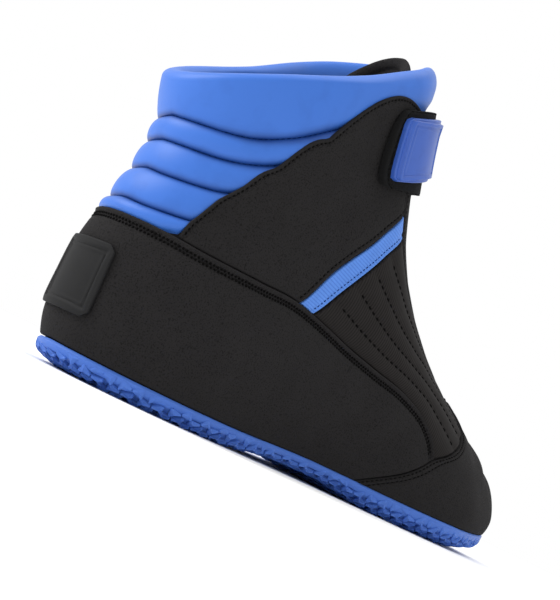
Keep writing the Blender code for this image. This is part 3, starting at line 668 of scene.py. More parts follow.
MATERIALS = {
    "nap": make_nap("black_nap", (0.0060, 0.0057, 0.0058), (0.0190, 0.0180, 0.0184)),
    "strap_nap": make_nap("strap_nap", (0.0025, 0.0025, 0.0026), (0.010, 0.010, 0.0104)),
    "leather": make_leather("blue_leather", (0.004, 0.026, 0.150), (0.039, 0.138, 0.505)),
    "sole": make_rubber("blue_rubber", (0.002, 0.012, 0.085), (0.060, 0.152, 0.515), 0.50, 0.22),
    "patch": make_rubber("blue_moulding", (0.006, 0.022, 0.130), (0.032, 0.090, 0.380), 0.42, 0.30),
    "badge": make_rubber("black_moulding", (0.003, 0.003, 0.003), (0.010, 0.010, 0.0105), 0.65, 0.12),
    "twill": make_weave("black_twill", (0.0070, 0.0062, 0.0060), (0.0175, 0.0155, 0.0150), 1.1, 52.0, 0.9),
    "satin": make_weave("blue_satin", (0.066, 0.175, 0.550), (0.092, 0.230, 0.650), 1.5, 0.0, 0.5),
    "lining": make_knit("black_lining", (0.004, 0.004, 0.005), (0.018, 0.018, 0.020), 1.0),
    "insole": make_knit("insole_cloth", (0.012, 0.012, 0.014), (0.040, 0.040, 0.044), 1.2),
    # Black thread, made darker than the nap as painted shade for the stitches' own shadow.
    "black_thread_and_shade": make_knit("black_thread_and_shade", (0.0010, 0.0010, 0.0010), (0.004, 0.0037, 0.0037), 0.4),
    "blue_thread": make_knit("blue_thread", (0.002, 0.009, 0.070), (0.007, 0.026, 0.150), 0.4),
}


# Meshes

def add_object(name, data):
    """Object of the scene that shows a mesh, a light or a camera."""
    item = bpy.data.objects.new(name, data)
    bpy.context.scene.collection.objects.link(item)
    return item


def rework(mesh, work):
    """Let some work be done on a mesh's points and faces."""
    builder = bmesh.new()
    builder.from_mesh(mesh)
    work(builder)
    builder.to_mesh(mesh)
    builder.free()


def make_piece(name, points, faces, materials, indices=None, painted_shading=None, sharp=55.0, lay=None):
    """Smooth mesh object from points in millimetres of the ring table, its faces turned outward."""
    mesh = bpy.data.meshes.new(name)
    mesh.from_pydata(((np.asarray(points) - BOX_CENTRE) * MM).tolist(), [], [list(face) for face in faces])
    for material in materials:
        mesh.materials.append(MATERIALS[material])
    if indices is not None:
        mesh.polygons.foreach_set("material_index", np.asarray(indices, np.int32))
    rework(mesh, lambda builder: bmesh.ops.recalc_face_normals(builder, faces=builder.faces))
    # Painted shading of each point: painted highlights above the neutral level, painted shade below it.
    shades = np.full(len(points), NEUTRAL_SHADING) if painted_shading is None else np.clip(painted_shading, 0.0, 1.0)
    mesh.attributes.new("painted_shading", "FLOAT", "POINT").data.foreach_set("value", shades.astype(np.float32))
    if lay is not None:
        places = mesh.attributes.new("lay", "FLOAT_VECTOR", "POINT")
        places.data.foreach_set("vector", lay.astype(np.float32).ravel())
    mesh.shade_smooth()
    mesh.set_sharp_from_angle(angle=math.radians(sharp))
    return add_object(name, mesh)


def dress(piece, slot, *nodes):
    """Let a piece ride with the shoe and stand for some solids, which are hidden. The slot is not used."""
    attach(piece, "root")
    if nodes:
        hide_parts(*nodes)
    return piece


def grid_quads(index, wrap=False):
    """Quads of a grid of point numbers, closed round its columns if it wraps."""
    if wrap:
        index = np.column_stack((index, index[:, :1]))
    return np.stack((index[:-1, :-1], index[:-1, 1:], index[1:, 1:], index[1:, :-1]), -1).reshape(-1, 4)


def grid_solid(name, outer, inner, material, painted_shading=None, lay=None):
    """Closed mesh between two grids of points, walled along their border."""
    rows, columns = outer.shape[:2]
    index = np.arange(rows * columns).reshape(rows, columns)
    quads = grid_quads(index)
    border = np.concatenate((index[0, :-1], index[:-1, -1], index[-1, :0:-1], index[:0:-1, 0]))
    after = np.roll(border, -1)
    walls = np.stack((border, border + index.size, after + index.size, after), -1)
    faces = np.concatenate((quads, quads[:, ::-1] + index.size, walls))
    points = np.concatenate((outer.reshape(-1, 3), inner.reshape(-1, 3)))
    shades = np.full(2 * index.size, NEUTRAL_SHADING)
    if painted_shading is not None:
        shades[:index.size] = painted_shading.ravel()
    places = None if lay is None else np.tile(lay.reshape(-1, 3), (2, 1))
    return make_piece(name, points, faces, (material,), painted_shading=shades, lay=places)


# Sewn pieces

def sampled(places, table, at):
    """Rows of a table at some places, straight between its own places."""
    return np.stack([np.interp(at, places, column) for column in table.T], -1)


def edge_shares(table):
    """Share of an edge's length at each of its places."""
    lengths = run_lengths(table * PLACE_SCALE)
    return lengths / lengths[-1]


def smooth_edge(places):
    """Smooth curve through places, as a function of shares of its length."""
    table = np.asarray(places, float)
    rows = np.column_stack((edge_shares(table), table))
    return lambda share: smooth_through(rows, share)


def straight_edge(places):
    """Straight runs through places, as a function of shares of their length."""
    table = np.asarray(places, float)
    shares = edge_shares(table)
    return lambda share: sampled(shares, table, share)


def edge_length(edge):
    """Length of an edge on the last, in millimetres."""
    places = edge(np.linspace(0.0, 1.0, EDGE_SAMPLES))
    return run_lengths(last_points(places[:, 0], places[:, 1]))[-1]


def spaced(length, step, roll):
    """Shares along an edge: fine in the rolled border at both ends, then about one step apart."""
    fine = np.arange(ROLL_SHARES[-1] * roll + FINE_STEP, min(FINE_REACH, length / 4.0), FINE_STEP)
    border = np.concatenate((ROLL_SHARES * roll, fine)) / length
    count = max(int(length * (1.0 - 2.0 * border[-1]) / step), 3)
    inside = np.linspace(border[-1], 1.0 - border[-1], count + 1)
    return np.concatenate((border[:-1], inside, 1.0 - border[-2::-1]))


def blend_edges(edges, s, r):
    """Places inside four edges: s runs along foot and top, r runs up start and end."""
    foot, top, start, end = edges
    across, up = s[None, :, None], r[:, None, None]
    sides = (1 - across) * start(r)[:, None] + across * end(r)[:, None]
    levels = (1 - up) * foot(s)[None] + up * top(s)[None]
    low = (1 - across) * foot(0.0) + across * foot(1.0)
    high = (1 - across) * top(0.0) + across * top(1.0)
    return sides + levels - (1 - up) * low - up * high


class Panel:
    """Piece on the last between a foot, a top, a start and an end, with rolled borders and stitched rows."""

    def __init__(self, borders, under, level, side=1, curve=smooth_edge, step=1.5, roll=0.8, rows=(),
                 relief=None, lift=None, bed=None):
        edges = [curve(places) for places in borders]
        foot, top, start, end = [edge_length(edge) for edge in edges]
        self.rows = rows
        self.s = spaced((foot + top) / 2.0, step, roll)
        self.r = spaced((start + end) / 2.0, step, roll)
        places = blend_edges(edges, self.s, self.r)
        self.around, self.height = side * places[..., 0], places[..., 1]
        self.base = last_points(self.around, self.height)
        self.outward = last_outward(self.around, self.height)
        self.measure_borders()
        depth = self.trough_depth()
        # Painted highlight on the folded borders and painted shade in the stitched troughs.
        fold_highlight = np.exp(-((self.nearest / FOLD_WIDTH) ** 2))
        self.painted_shading = NEUTRAL_SHADING + FOLD_HIGHLIGHT * fold_highlight - TROUGH_SHADE * depth / TROUGH_DEPTH
        raised = (relief(self) if relief else 0.0) - depth
        lifted = lift(self) if lift else 0.0
        bedded = bed(self) if bed else lifted
        edge = under + lifted + (level - under) * EDGE_SHARE
        out = edge + (level + lifted - edge + raised) * fullness(self.nearest, roll)
        self.outer = self.base + self.outward * out[..., None]
        self.inner = self.base + self.outward * (under + bedded + np.zeros_like(out))[..., None]

    def measure_borders(self):
        """Distances along the surface from the four borders and the nearest one, in millimetres."""
        across = np.linalg.norm(np.diff(self.base, axis=1), axis=2)
        up = np.linalg.norm(np.diff(self.base, axis=0), axis=2)
        from_start = np.pad(np.cumsum(across, axis=1), ((0, 0), (1, 0)))
        from_foot = np.pad(np.cumsum(up, axis=0), ((1, 0), (0, 0)))
        self.border = {
            "foot": from_foot,
            "top": from_foot[-1:] - from_foot,
            "start": from_start,
            "end": from_start[:, -1:] - from_start,
        }
        self.nearest = np.minimum.reduce(list(self.border.values()))

    def trough_depth(self):
        """Depth of the troughs that stitching pulls into the piece."""
        depth = np.zeros_like(self.nearest)
        for border, offset, *_ in self.rows:
            depth += TROUGH_DEPTH * np.exp(-(((self.border[border] - offset) / TROUGH_WIDTH) ** 2))
        return depth

    def put_on(self, name, material, slot, node, trim=STITCH_TRIM):
        """Add the piece to the shoe in place of its solid, and give the stitches along its rows."""
        lay = np.stack((self.border["start"], self.border["foot"], np.zeros_like(self.painted_shading)), -1) * MM
        dress(grid_solid(name, self.outer, self.inner, material, self.painted_shading, lay), slot, node)
        return [stitch_row(self.row_inside(border, offset, trim), *stitch)
                for border, offset, *stitch in self.rows if stitch]

    def row_inside(self, border, offset, trim):
        """Points and outward directions of a line on the piece at a distance from one border."""
        gaps, points, outward = self.border[border], self.outer, self.outward
        if border in ("start", "end"):
            gaps, points, outward = gaps.T, points.transpose(1, 0, 2), outward.transpose(1, 0, 2)
        if border in ("top", "end"):
            gaps, points, outward = gaps[::-1], points[::-1], outward[::-1]
        lanes = range(gaps.shape[1])
        line = np.array([sampled(gaps[:, lane], points[:, lane], offset) for lane in lanes])
        rows = [np.searchsorted(gaps[:, lane], offset) for lane in lanes]
        return trimmed(line, outward[np.clip(rows, 0, len(gaps) - 1), lanes], trim)

    def line_at(self, share, trim):
        """Points and outward directions of a line up the piece at a share of its width."""
        column = int(np.abs(self.s - share).argmin())
        return trimmed(self.outer[:, column], self.outward[:, column], trim)


def trimmed(points, outward, trim):
    """A line without its ends."""
    lengths = run_lengths(points)
    keep = (lengths >= trim) & (lengths <= lengths[-1] - trim)
    return points[keep], outward[keep]


# Stitching

def stitch_places(points, outward, pitch):
    """Both ends and the outward directions of stitches one pitch apart along a line."""
    lengths = run_lengths(points)
    marks = np.arange(0.0, lengths[-1] - pitch, pitch)
    first, second = [sampled(lengths, points, marks + part * pitch) for part in (0, 1)]
    return first, second, unit(sampled(lengths, outward, marks + 0.5 * pitch))


def stitch_row(line, pitch, thick=1.0, sway=0.0):
    """Points of the stitches of one row: pitch apart, or zigzagging to both sides of it."""
    first, second, normals = stitch_places(*line, pitch)
    aside = unit(np.cross(normals, second - first))
    aside *= sway * np.where(np.arange(len(first)) % 2, 1.0, -1.0)[:, None]
    first, second = first - aside, second + aside
    along = unit(second - first)
    length = np.linalg.norm(second - first, axis=1) * STITCH_FILL
    side = unit(np.cross(normals, along))
    points = []
    for share, height, half in STITCH_RINGS:
        middle = (first + second) / 2.0 + along * (share * length)[:, None] + normals * height * thick
        for angle in np.linspace(0.0, 2.0 * np.pi, STITCH_SIDES, endpoint=False):
            reach = side * math.cos(angle) + normals * math.sin(angle) * STITCH_FLATNESS
            points.append(middle + reach * half * thick)
    return np.stack(points, axis=1)


def make_stitching(name, rows, material, slot):
    """All stitches of one thread, as one mesh of closed capsules."""
    stitches = np.concatenate(rows)
    size = stitches.shape[1]
    index = np.arange(size).reshape(len(STITCH_RINGS), STITCH_SIDES)
    quads = grid_quads(index, wrap=True)
    caps = [tuple(index[0, ::-1]), tuple(index[-1])]
    starts = np.arange(len(stitches)) * size
    faces = (quads[None] + starts[:, None, None]).reshape(-1, 4).tolist()
    faces += [tuple(start + corner for corner in cap) for start in starts.tolist() for cap in caps]
    return dress(make_piece(name, stitches.reshape(-1, 3), faces, (material,)), slot)


# Sole

def floor_height(y):
    """Height of the sole's underside over the floor along the shoe."""
    y = np.asarray(y, float)
    lip = HEEL_LIP * (1.0 - ramp(y, HEEL_FLAT[0] - HEEL_LIP_LENGTH, HEEL_FLAT[0]))
    arch = ARCH_RISE * ramp(y, HEEL_FLAT[1], ARCH_CROWN[0]) * (1.0 - ramp(y, ARCH_CROWN[1], BALL_FLAT[0]))
    toe = np.maximum(y - BALL_FLAT[1], 0.0) / (TOE_END_Y - BALL_FLAT[1])
    return lip + arch + TOE_SPRING * toe ** SPRING_BEND


def flat_edge(around):
    """Edge of the sole's flat underside."""
    inset = smooth_through(SOLE_EDGE, around)[..., 0]
    ring = last_points(around, 0.0) - plan_outward(around) * inset[:, None]
    ring[:, 2] = floor_height(ring[:, 1])
    return ring


def rim_ring(around, out):
    """Ring along the sole's rim, some millimetres off the last."""
    top = sole_top(around)
    return skin_points(around, top, np.full_like(top, out))


def tread_shading(painted_shading, depth):
    """Painted shading of the tread where it is some millimetres deep, fading to neutral with the tread."""
    return NEUTRAL_SHADING + (painted_shading - NEUTRAL_SHADING) * depth / LUG_HEIGHT


class RolledEdge:
    """Outer surface of the sole's rolled edge, row by row from its flat underside to the rim."""

    def __init__(self):
        around = np.linspace(0.0, 1.0, SOLE_COLUMNS, endpoint=False)
        bottom, rim = flat_edge(around), rim_ring(around, SOLE_CLEARANCE + SOLE_WALL)
        places = np.column_stack((np.linspace(0.0, 1.0, len(SOLE_ROLL)), SOLE_ROLL))
        out, rise = smooth_through(places, np.linspace(0.0, 1.0, SOLE_ROLL_ROWS)).T
        self.points = bottom + (rim - bottom) * np.stack((out, out, rise), -1)[:, None]
        self.around, self.outward = around, plan_outward(around)
        along = np.roll(self.points, -1, axis=1) - np.roll(self.points, 1, axis=1)
        self.facing = unit(np.cross(along, np.gradient(self.points, axis=0)))
        self.facing[0] = (0.0, 0.0, -1.0)
        steps = np.linalg.norm(np.diff(self.points, axis=0), axis=2)
        self.lengths = np.pad(np.cumsum(steps, axis=0), ((1, 0), (0, 0)))
        self.depth = LUG_HEIGHT * (1.0 - ramp(self.lengths / self.lengths[-1], *LUG_FADE))

    def tread_limit(self):
        """Outline of the flattened tread that the lugs' middles stay inside."""
        return (self.points[0] + self.outward * self.lengths[-1][:, None])[:, :2]

    def under(self, plan):
        """Points on the sole at places of its flattened plan, the way they face and the tread's depth."""
        column = np.linalg.norm(plan[:, None] - self.points[0, :, :2], axis=-1).argmin(1)
        edge, outward, lengths = self.points[0, column], self.outward[column, :2], self.lengths[:, column]
        aside = plan - edge[:, :2]
        reach = np.maximum((aside * outward).sum(-1), 0.0)
        held = np.minimum(reach, LUG_LAST * lengths[-1])
        row = np.array([np.interp(at, line, np.arange(len(line))) for at, line in zip(held, lengths.T)])
        low = np.minimum(row.astype(int), len(lengths) - 2)
        part = (row - low)[:, None]
        points, facing, depth = [grid[low, column] * (1.0 - part) + grid[low + 1, column] * part
                                 for grid in (self.points, self.facing, self.depth[..., None])]
        slide = aside - outward * reach[:, None]
        points[:, :2] += slide
        points[:, 2] += floor_height(edge[:, 1] + slide[:, 1]) - floor_height(edge[:, 1])
        return points, unit(facing), depth[:, 0]


def sole_rings(roll):
    """Rings of the outsole from the tread's floor over the rolled edge and the rim to its top."""
    rim_in, rim_out = rim_ring(roll.around, SOLE_CLEARANCE), roll.points[-1]
    rings = list(roll.points - roll.facing * roll.depth[..., None])
    for share in SOLE_RIM_SHARES:
        ring = rim_out + (rim_in - rim_out) * share
        ring[:, 2] += SOLE_RIM_CROWN * math.sin(math.pi * share)
        rings.append(ring)
    top = last_points(roll.around, 0.0) - (0.0, 0.0, SOLE_TOP_GAP)
    return rings + [rim_in, top + roll.outward * SOLE_CLEARANCE, top - roll.outward * INSOLE_INSET]


def add_cap(points, faces, first, count, across):
    """Close a ring across the shoe with rows of points from its lateral to its medial side."""
    rows = []
    for column in range(1, count // 2):
        lateral, medial = first + column, first + count - column
        row = [lateral]
        for share in np.arange(1, across) / across:
            row.append(len(points))
            points.append(points[lateral] * (1 - share) + points[medial] * share)
        rows.append(row + [medial])
    for here, ahead in zip(rows, rows[1:]):
        faces.extend((here[k], here[k + 1], ahead[k + 1], ahead[k]) for k in range(across))
    for row, end in ((rows[0], first), (rows[-1], first + count // 2)):
        faces.extend((row[k], row[k + 1], end) for k in range(across))


def slab(rings, across, level_low=None):
    """Points and faces of a closed slab through some rings, capped across below and above."""
    count = len(rings[0])
    index = np.arange(len(rings) * count).reshape(len(rings), count)
    faces = grid_quads(index, wrap=True).tolist()
    points = [point for ring in rings for point in ring]
    first_new = len(points)
    add_cap(points, faces, 0, count, across)
    if level_low:
        for number in range(first_new, len(points)):
            points[number][2] = level_low(points[number][1])
    add_cap(points, faces, (len(rings) - 1) * count, count, across)
    return points, faces


def lug_outline():
    """One lug's three-cornered outline about its middle, and which of its points are on a ridge."""
    outline, ridge = [], []
    for angle in LUG_CORNERS:
        for turn in LUG_TURNS:
            tip, bend = math.radians(angle), math.radians(angle + turn)
            along = (LUG_REACH - LUG_ROUND) * np.array((math.cos(tip), math.sin(tip)))
            outline.append(along + LUG_ROUND * np.array((math.cos(bend), math.sin(bend))))
            ridge.append(float(abs(turn) < max(LUG_TURNS)))
    return np.array(outline) * (1.0, LUG_SQUEEZE), np.array(ridge)


def lug_places(outline):
    """Middles of the lugs inside an outline and clear of the plate, with the way each points."""
    places = []
    low, high = outline.min(0), outline.max(0)
    margin = np.array(PLATE_SIZE) / 2 + PLATE_MARGIN
    for shift, turn in ((0.0, 1.0), (0.5, -1.0)):
        xs = np.arange(low[0] + shift * LUG_PITCH[0], high[0], LUG_PITCH[0])
        ys = np.arange(low[1] + shift * LUG_PITCH[1], high[1], LUG_PITCH[1])
        grid = np.stack(np.meshgrid(xs, ys), -1).reshape(-1, 2)
        clear = (np.abs(grid - PLATE_MIDDLE) > margin).any(1)
        places += [(x, y, turn) for x, y in grid[inside(outline, grid) & clear]]
    return places


def inside(outline, points):
    """Which points lie inside a closed outline."""
    run, rise = (np.roll(outline, -1, axis=0) - outline).T
    x, y = np.moveaxis(points[:, None] - outline, -1, 0)
    spans = (y < 0.0) != (y < rise)
    return (spans & ((y * run - x * rise) * rise > 0.0)).sum(1) % 2 == 1


def add_lugs(points, faces, shades, roll):
    """Lugs with a ridge to each corner, rooted in the tread's floor and wrapped over the rolled edge."""
    shape, ridge = lug_outline()
    rows = np.concatenate([shape * size for size, _, _ in LUG_ROWS])
    sunk = np.concatenate([between + (on - between) * ridge for _, on, between in LUG_ROWS])
    # Painted shade at each lug's root and a painted highlight along its ridges.
    lug_shading = np.tile(LUG_FACE_SHADE + (RIDGE_HIGHLIGHT - LUG_FACE_SHADE) * ridge, len(LUG_ROWS))
    lug_shading[:len(shape)] = ROOT_SHADE
    index = np.arange(len(rows)).reshape(len(LUG_ROWS), -1)
    quads, ends = grid_quads(index, wrap=True), index[[0, -1]]
    for x, y, turn in lug_places(roll.tread_limit()):
        first = len(points)
        surface, facing, depth = roll.under(rows * turn + (x, y))
        points.extend(surface - facing * (sunk * depth / LUG_HEIGHT)[:, None])
        shades.extend(tread_shading(lug_shading, depth))
        faces.extend((quads + first).tolist() + (ends + first).tolist())


def plate_outline(grow):
    """The plate's outline with round corners, some millimetres larger all round."""
    half = np.array(PLATE_SIZE) / 2.0 - PLATE_CORNER
    radius = max(PLATE_CORNER + grow, 0.0)
    inner = half + min(PLATE_CORNER + grow, 0.0)
    outline = []
    for quarter, corner in enumerate(((1, 1), (-1, 1), (-1, -1), (1, -1))):
        for turn in np.linspace(0.0, math.pi / 2.0, PLATE_ARC_STEPS):
            at = quarter * math.pi / 2.0 + turn
            outline.append(inner * corner + radius * np.array((math.cos(at), math.sin(at))))
    return np.array(outline) + PLATE_MIDDLE


def add_plate(points, faces):
    """Bare moulded plate under the waist, inside a groove and a flat frame."""
    first = len(points)
    for grow, relief in PLATE_ROWS:
        ring = plate_outline(grow)
        points.extend(np.column_stack((ring, floor_height(ring[:, 1]) - relief)))
    index = np.arange(first, len(points)).reshape(len(PLATE_ROWS), -1)
    faces.extend(grid_quads(index, wrap=True).tolist() + index[[0, -1]].tolist())


def make_outsole():
    """Thin rubber outsole with a rolled edge, tread and plate."""
    roll = RolledEdge()
    rings = sole_rings(roll)
    points, faces = slab(rings, SOLE_ACROSS, lambda y: floor_height(y) + LUG_HEIGHT)
    # Slight painted shade on the tread's floor, fading out over the rolled edge.
    shades = tread_shading(RECESS_SHADE, roll.depth).ravel().tolist()
    shades += [NEUTRAL_SHADING] * SOLE_COLUMNS * (len(rings) - SOLE_ROLL_ROWS)
    shades += [RECESS_SHADE] * (len(points) - len(shades))
    add_lugs(points, faces, shades, roll)
    add_plate(points, faces)
    shades += [NEUTRAL_SHADING] * (len(points) - len(shades))
    piece = make_piece("outsole_tread", points, faces, ("sole",), painted_shading=np.array(shades), sharp=SOLE_SHARP)
    dress(piece, "blue_rubber", "outsole")


def make_insole():
    """Cloth-covered insole with soft edges."""
    around = np.linspace(0.0, 1.0, SOLE_COLUMNS // 2, endpoint=False)
    outward, feather = plan_outward(around), last_points(around, 0.0)
    rings = []
    for inset, rise in INSOLE_ROWS:
        ring = feather - outward * (INSOLE_INSET + inset)
        ring[:, 2] += INSOLE_GAP - SOLE_TOP_GAP + rise
        rings.append(ring)
    points, faces = slab(rings, SOLE_ACROSS)
    piece = dress(make_piece("insole_cloth", points, faces, ("insole",)), "insole_foam", "insole")


# Upper

def weld(builder):
    """Join the upper's points that lie together where its throat is closed."""
    bmesh.ops.remove_doubles(builder, verts=builder.verts, dist=UPPER_WELD)


def make_upper():
    """Hollow shell of the upper, open at the collar, the throat and underneath, with a lining inside."""
    turn = np.linspace(-0.5, 0.5, UPPER_COLUMNS + 1)
    grid = []
    for share in np.linspace(0.0, 1.0, UPPER_ROWS + 1):
        around = turn * (1.0 - 2.0 * throat_share(share * float(upper_edge(0.5))))
        grid.append(last_points(around, share * upper_edge(around)))
    points = np.stack(grid)
    index = np.arange(points[..., 0].size).reshape(points.shape[:2])
    piece = make_piece("upper_shell", points.reshape(-1, 3), grid_quads(index), ("nap", "lining"))
    rework(piece.data, weld)
    shell = piece.modifiers.new("thickness", "SOLIDIFY")
    shell.thickness = UPPER_WALL * MM
    shell.offset = -1.0
    shell.use_even_offset = True
    shell.material_offset = 1
    dress(piece, "black_nap", "upper")


def squeezed(around, height):
    """Share of the cuff's swelling that is left under the strap."""
    across = ramp(0.5 - np.abs(0.5 - np.abs(around)), *SQUEEZE_AROUND)
    return 1.0 - SQUEEZE * across * ramp(height, *SQUEEZE_FOOT) * (1.0 - ramp(height, *SQUEEZE_TOP))


def groove_lines(around):
    """Heights of the cuff's grooves, lowest groove first."""
    return np.moveaxis(smooth_through(GROOVES, np.abs(around)), -1, 0)


def cuff_puff(around, height):
    """How far the cuff's ribs swell, with a sharp groove between every two and a fat roll on top."""
    around = np.broadcast_to(around, np.shape(height))
    lines = groove_lines(around)
    foot = np.minimum(upper_edge(around), lines[0] - CUFF_LOWEST_RIB)
    levels = [foot, *lines, np.full_like(foot, ROLL_TOP)]
    puff = np.zeros_like(foot)
    for low, high in zip(levels, levels[1:]):
        crown = ROLL_PUFF if high is levels[-1] else RIB_PUFF
        share = np.clip((height - low) / (high - low), 0.0, 1.0)
        here = (height >= low) & (height < high)
        puff = np.where(here, crown * (4.0 * share * (1.0 - share)) ** RIB_SHARPNESS, puff)
    return GROOVE_PUFF + puff * squeezed(around, height)


def cuff_heights(around, foot):
    """Heights of the cuff's rows from its foot to its rim, closest together beside its grooves."""
    levels = [foot]
    for line in groove_lines(around):
        levels.append(np.maximum(line, levels[-1] + CUFF_LEAST_RIB))
    levels.append(np.ones_like(foot))
    share = (1.0 - np.cos(np.linspace(0.0, np.pi, CUFF_RIB_ROWS + 1)[:-1, None])) / 2.0
    ribs = [low + (high - low) * share for low, high in zip(levels, levels[1:])]
    return np.concatenate((*ribs, levels[-1:]))


def cuff_lining(share):
    """How far out the cuff's inside lies at shares of its height."""
    return CUFF_FOOT_INNER + (CUFF_INNER - CUFF_FOOT_INNER) * share


def cuff_outside(around, foot, full):
    """Rows of the cuff's ribbed outside up to its rim, their painted shade, and how far out the rim is."""
    height = cuff_heights(around, foot)
    puff = cuff_puff(around, height) + unevenness(last_points(around, height))
    puff = CUFF_FOOT_OUT + (puff - CUFF_FOOT_OUT) * ramp((height - foot) / CUFF_TUCK, 0.0, 1.0)
    middle = (puff + cuff_lining((height - foot) / (1.0 - foot))) / 2.0
    rows = skin_points(around, height, middle + (puff - middle) * full)
    return rows, groove_shade(around, height), puff[-1]


def cuff_roll(around, crest, full):
    """Rows of the fat roll over the cuff's rim."""
    radius = (crest - CUFF_INNER) / 2.0 * full
    rise = smooth_through(CUFF_ROLL_RISE, np.abs(around))[:, 0] * full
    angle = np.linspace(0.0, math.pi, CUFF_ROLL_ROWS)[1:-1, None]
    out = (crest + CUFF_INNER) / 2.0 + radius * np.cos(angle)
    up = last_upward(around, 1.0) * (rise * np.sin(angle))[..., None]
    return last_points(around, 1.0) + last_outward(around, 1.0) * out[..., None] + up


def cuff_inside(around, foot, full):
    """Rows of the cuff's smooth inside, from its rim down to its foot."""
    share = np.linspace(1.0, 0.0, CUFF_INNER_ROWS)[:, None]
    height = foot + (1.0 - foot) * share
    inner = cuff_lining(share)
    middle = (inner + cuff_puff(around, height)) / 2.0
    return skin_points(around, height, middle + (inner - middle) * full)


def make_cuff():
    """Padded cuff round the ankle: stitched ribs outside, a fat rolled rim and a smooth inside."""
    around = np.linspace(-0.5, 0.5, CUFF_COLUMNS + 1) * (1.0 - 2.0 * throat_share(1.0))
    gaps = run_lengths(last_points(around, 1.0))
    full = fullness(np.minimum(gaps, gaps[-1] - gaps) + CUFF_END_LEAST, CUFF_END_ROUND)
    foot = upper_edge(around) + EDGE_GAP - CUFF_TUCK
    outside, shade, crest = cuff_outside(around, foot, full)
    rows = np.concatenate((outside, cuff_roll(around, crest, full), cuff_inside(around, foot, full)))
    grid = rows.transpose(1, 0, 2)
    index = np.arange(grid[..., 0].size).reshape(grid.shape[:2])
    faces = grid_quads(index, wrap=True).tolist() + index[[0, -1]].tolist()
    lined = np.arange(len(rows)) >= len(rows) - CUFF_INNER_ROWS // 2
    indices = np.concatenate((np.tile(lined, len(grid) - 1), (False, False)))
    # Painted shade in and beside the grooves of the ribbed outside.
    shades = np.full(grid.shape[:2], NEUTRAL_SHADING)
    shades[:, :len(outside)] -= shade.T
    piece = make_piece("cuff_padding", grid.reshape(-1, 3), faces, ("leather", "lining"), indices,
                       shades.ravel())
    dress(piece, "blue_padding", "collar_cuff")
    return cuff_stitches(around)


def groove_shade(around, height):
    """How much painted shade darkens the cuff in and beside its grooves."""
    nearest = np.abs(height - groove_lines(around)[:, None]).min(0)
    return NEUTRAL_SHADING * np.exp(-((nearest / GROOVE_SHADE) ** 2))


def cuff_stitches(around):
    """Stitches in the cuff's grooves, where they show above the ankle panels."""
    rows = []
    for heights in groove_lines(around):
        shown = heights > upper_edge(around) + EDGE_GAP
        at, level = around[shown], heights[shown]
        puff = GROOVE_PUFF + CUFF_STITCH_OUT + unevenness(last_points(at, level))
        line = trimmed(skin_points(at, level, puff), last_outward(at, level), STITCH_TRIM)
        rows.append(stitch_row(line, *CUFF_STITCH))
    return rows


def line_distance(points, line):
    """Distance of points from the nearest stretch of a line."""
    steps = np.diff(line, axis=0)
    offset = points[..., None, :] - line[:-1]
    share = np.clip((offset * steps).sum(-1) / (steps * steps).sum(-1), 0.0, 1.0)
    return np.linalg.norm(offset - share[..., None] * steps, axis=-1).min(-1)


def make_tongue():
    """Padded tongue behind the throat, standing a little above the rim."""
    share = 1.0 - np.linspace(1.0, 0.0, TONGUE_ROWS + 1)[:, None] ** 2
    height = TONGUE_FOOT + (TONGUE_TOP - TONGUE_FOOT) * share
    arch = TONGUE_CREST + (1.0 - TONGUE_CREST) * fullness(TONGUE_TOP - height, TONGUE_ROUND)
    half = straight_through(TONGUE_HALF, height) * arch
    around = 0.5 + half * np.linspace(-1.0, 1.0, TONGUE_COLUMNS + 1)
    height = np.broadcast_to(height, around.shape)
    base, outward = last_points(around, height), last_outward(around, height)
    border = np.concatenate((base[0], base[1:, -1], base[-1, -2::-1], base[-2::-1, 0]))
    nearest = line_distance(base, border)
    stitched = np.exp(-(((nearest - TONGUE_SEAM) / TONGUE_SEAM_WIDTH) ** 2))
    middle = straight_through(TONGUE_OUT, height) - TONGUE_WALL / 2.0
    full = fullness(nearest + TONGUE_EDGE, TONGUE_ROLL)
    thick = TONGUE_WALL / 2.0 * full - TONGUE_SEAM_DEPTH * stitched
    outer, inner = [base + outward * out[..., None] for out in (middle + thick, middle - thick)]
    piece = grid_solid("tongue_padding", outer, inner, "nap")
    dress(piece, "black_nap", "tongue")


def creases(panel):
    """Creases and slow waves of a sewn piece."""
    return unevenness(panel.base) - crease_depth(panel.base)


def ridged(borders, height, inset, width):
    """Relief with a ridge at a distance from the nearest of some borders, over the creases."""
    def relief(panel):
        nearest = np.minimum.reduce([panel.border[border] for border in borders])
        return creases(panel) + height * np.exp(-(((nearest - inset) / width) ** 2))
    return relief


def channelled(panel):
    """Relief with ribs between the vent panel's rows of stitches, over the creases."""
    ribs = np.abs(np.sin(math.pi * VENT_RIBS * panel.s)) ** VENT_RIB_SHARPNESS
    return creases(panel) + VENT_RIB_HEIGHT * ribs


def scalloped(around):
    """Height of the ankle panel's top edge, which dips at each of the cuff's grooves."""
    table = np.array(NOTCHES)
    phase = np.interp(around, table[:, 0], np.arange(len(table)))
    bulge = np.take(BULGES, np.minimum(phase.astype(int), len(BULGES) - 1))
    edge = smooth_through(table, around)[..., 0] + bulge * np.abs(np.sin(np.pi * phase))
    return np.maximum(edge, upper_edge(around) + COVER)


def cuff_share(panel):
    """How far a piece has come up over the cuff: 0 on the upper, 1 on the cuff."""
    foot = upper_edge(panel.around) + EDGE_GAP
    return ramp(panel.height, foot - OVER_RISE, foot)


def over_cuff(panel):
    """How far a soft piece is lifted where it rides over the cuff's ribs, bridging their grooves."""
    puff = sum(cuff_puff(panel.around, panel.height + step) for step in BRIDGE_STEPS) / len(BRIDGE_STEPS)
    return cuff_share(panel) * (puff - GROOVE_PUFF)


def over_ribs(panel):
    """How far the strap's underside is lifted where it rides over the squeezed cuff."""
    return cuff_share(panel) * RIB_PUFF * (1.0 - SQUEEZE)


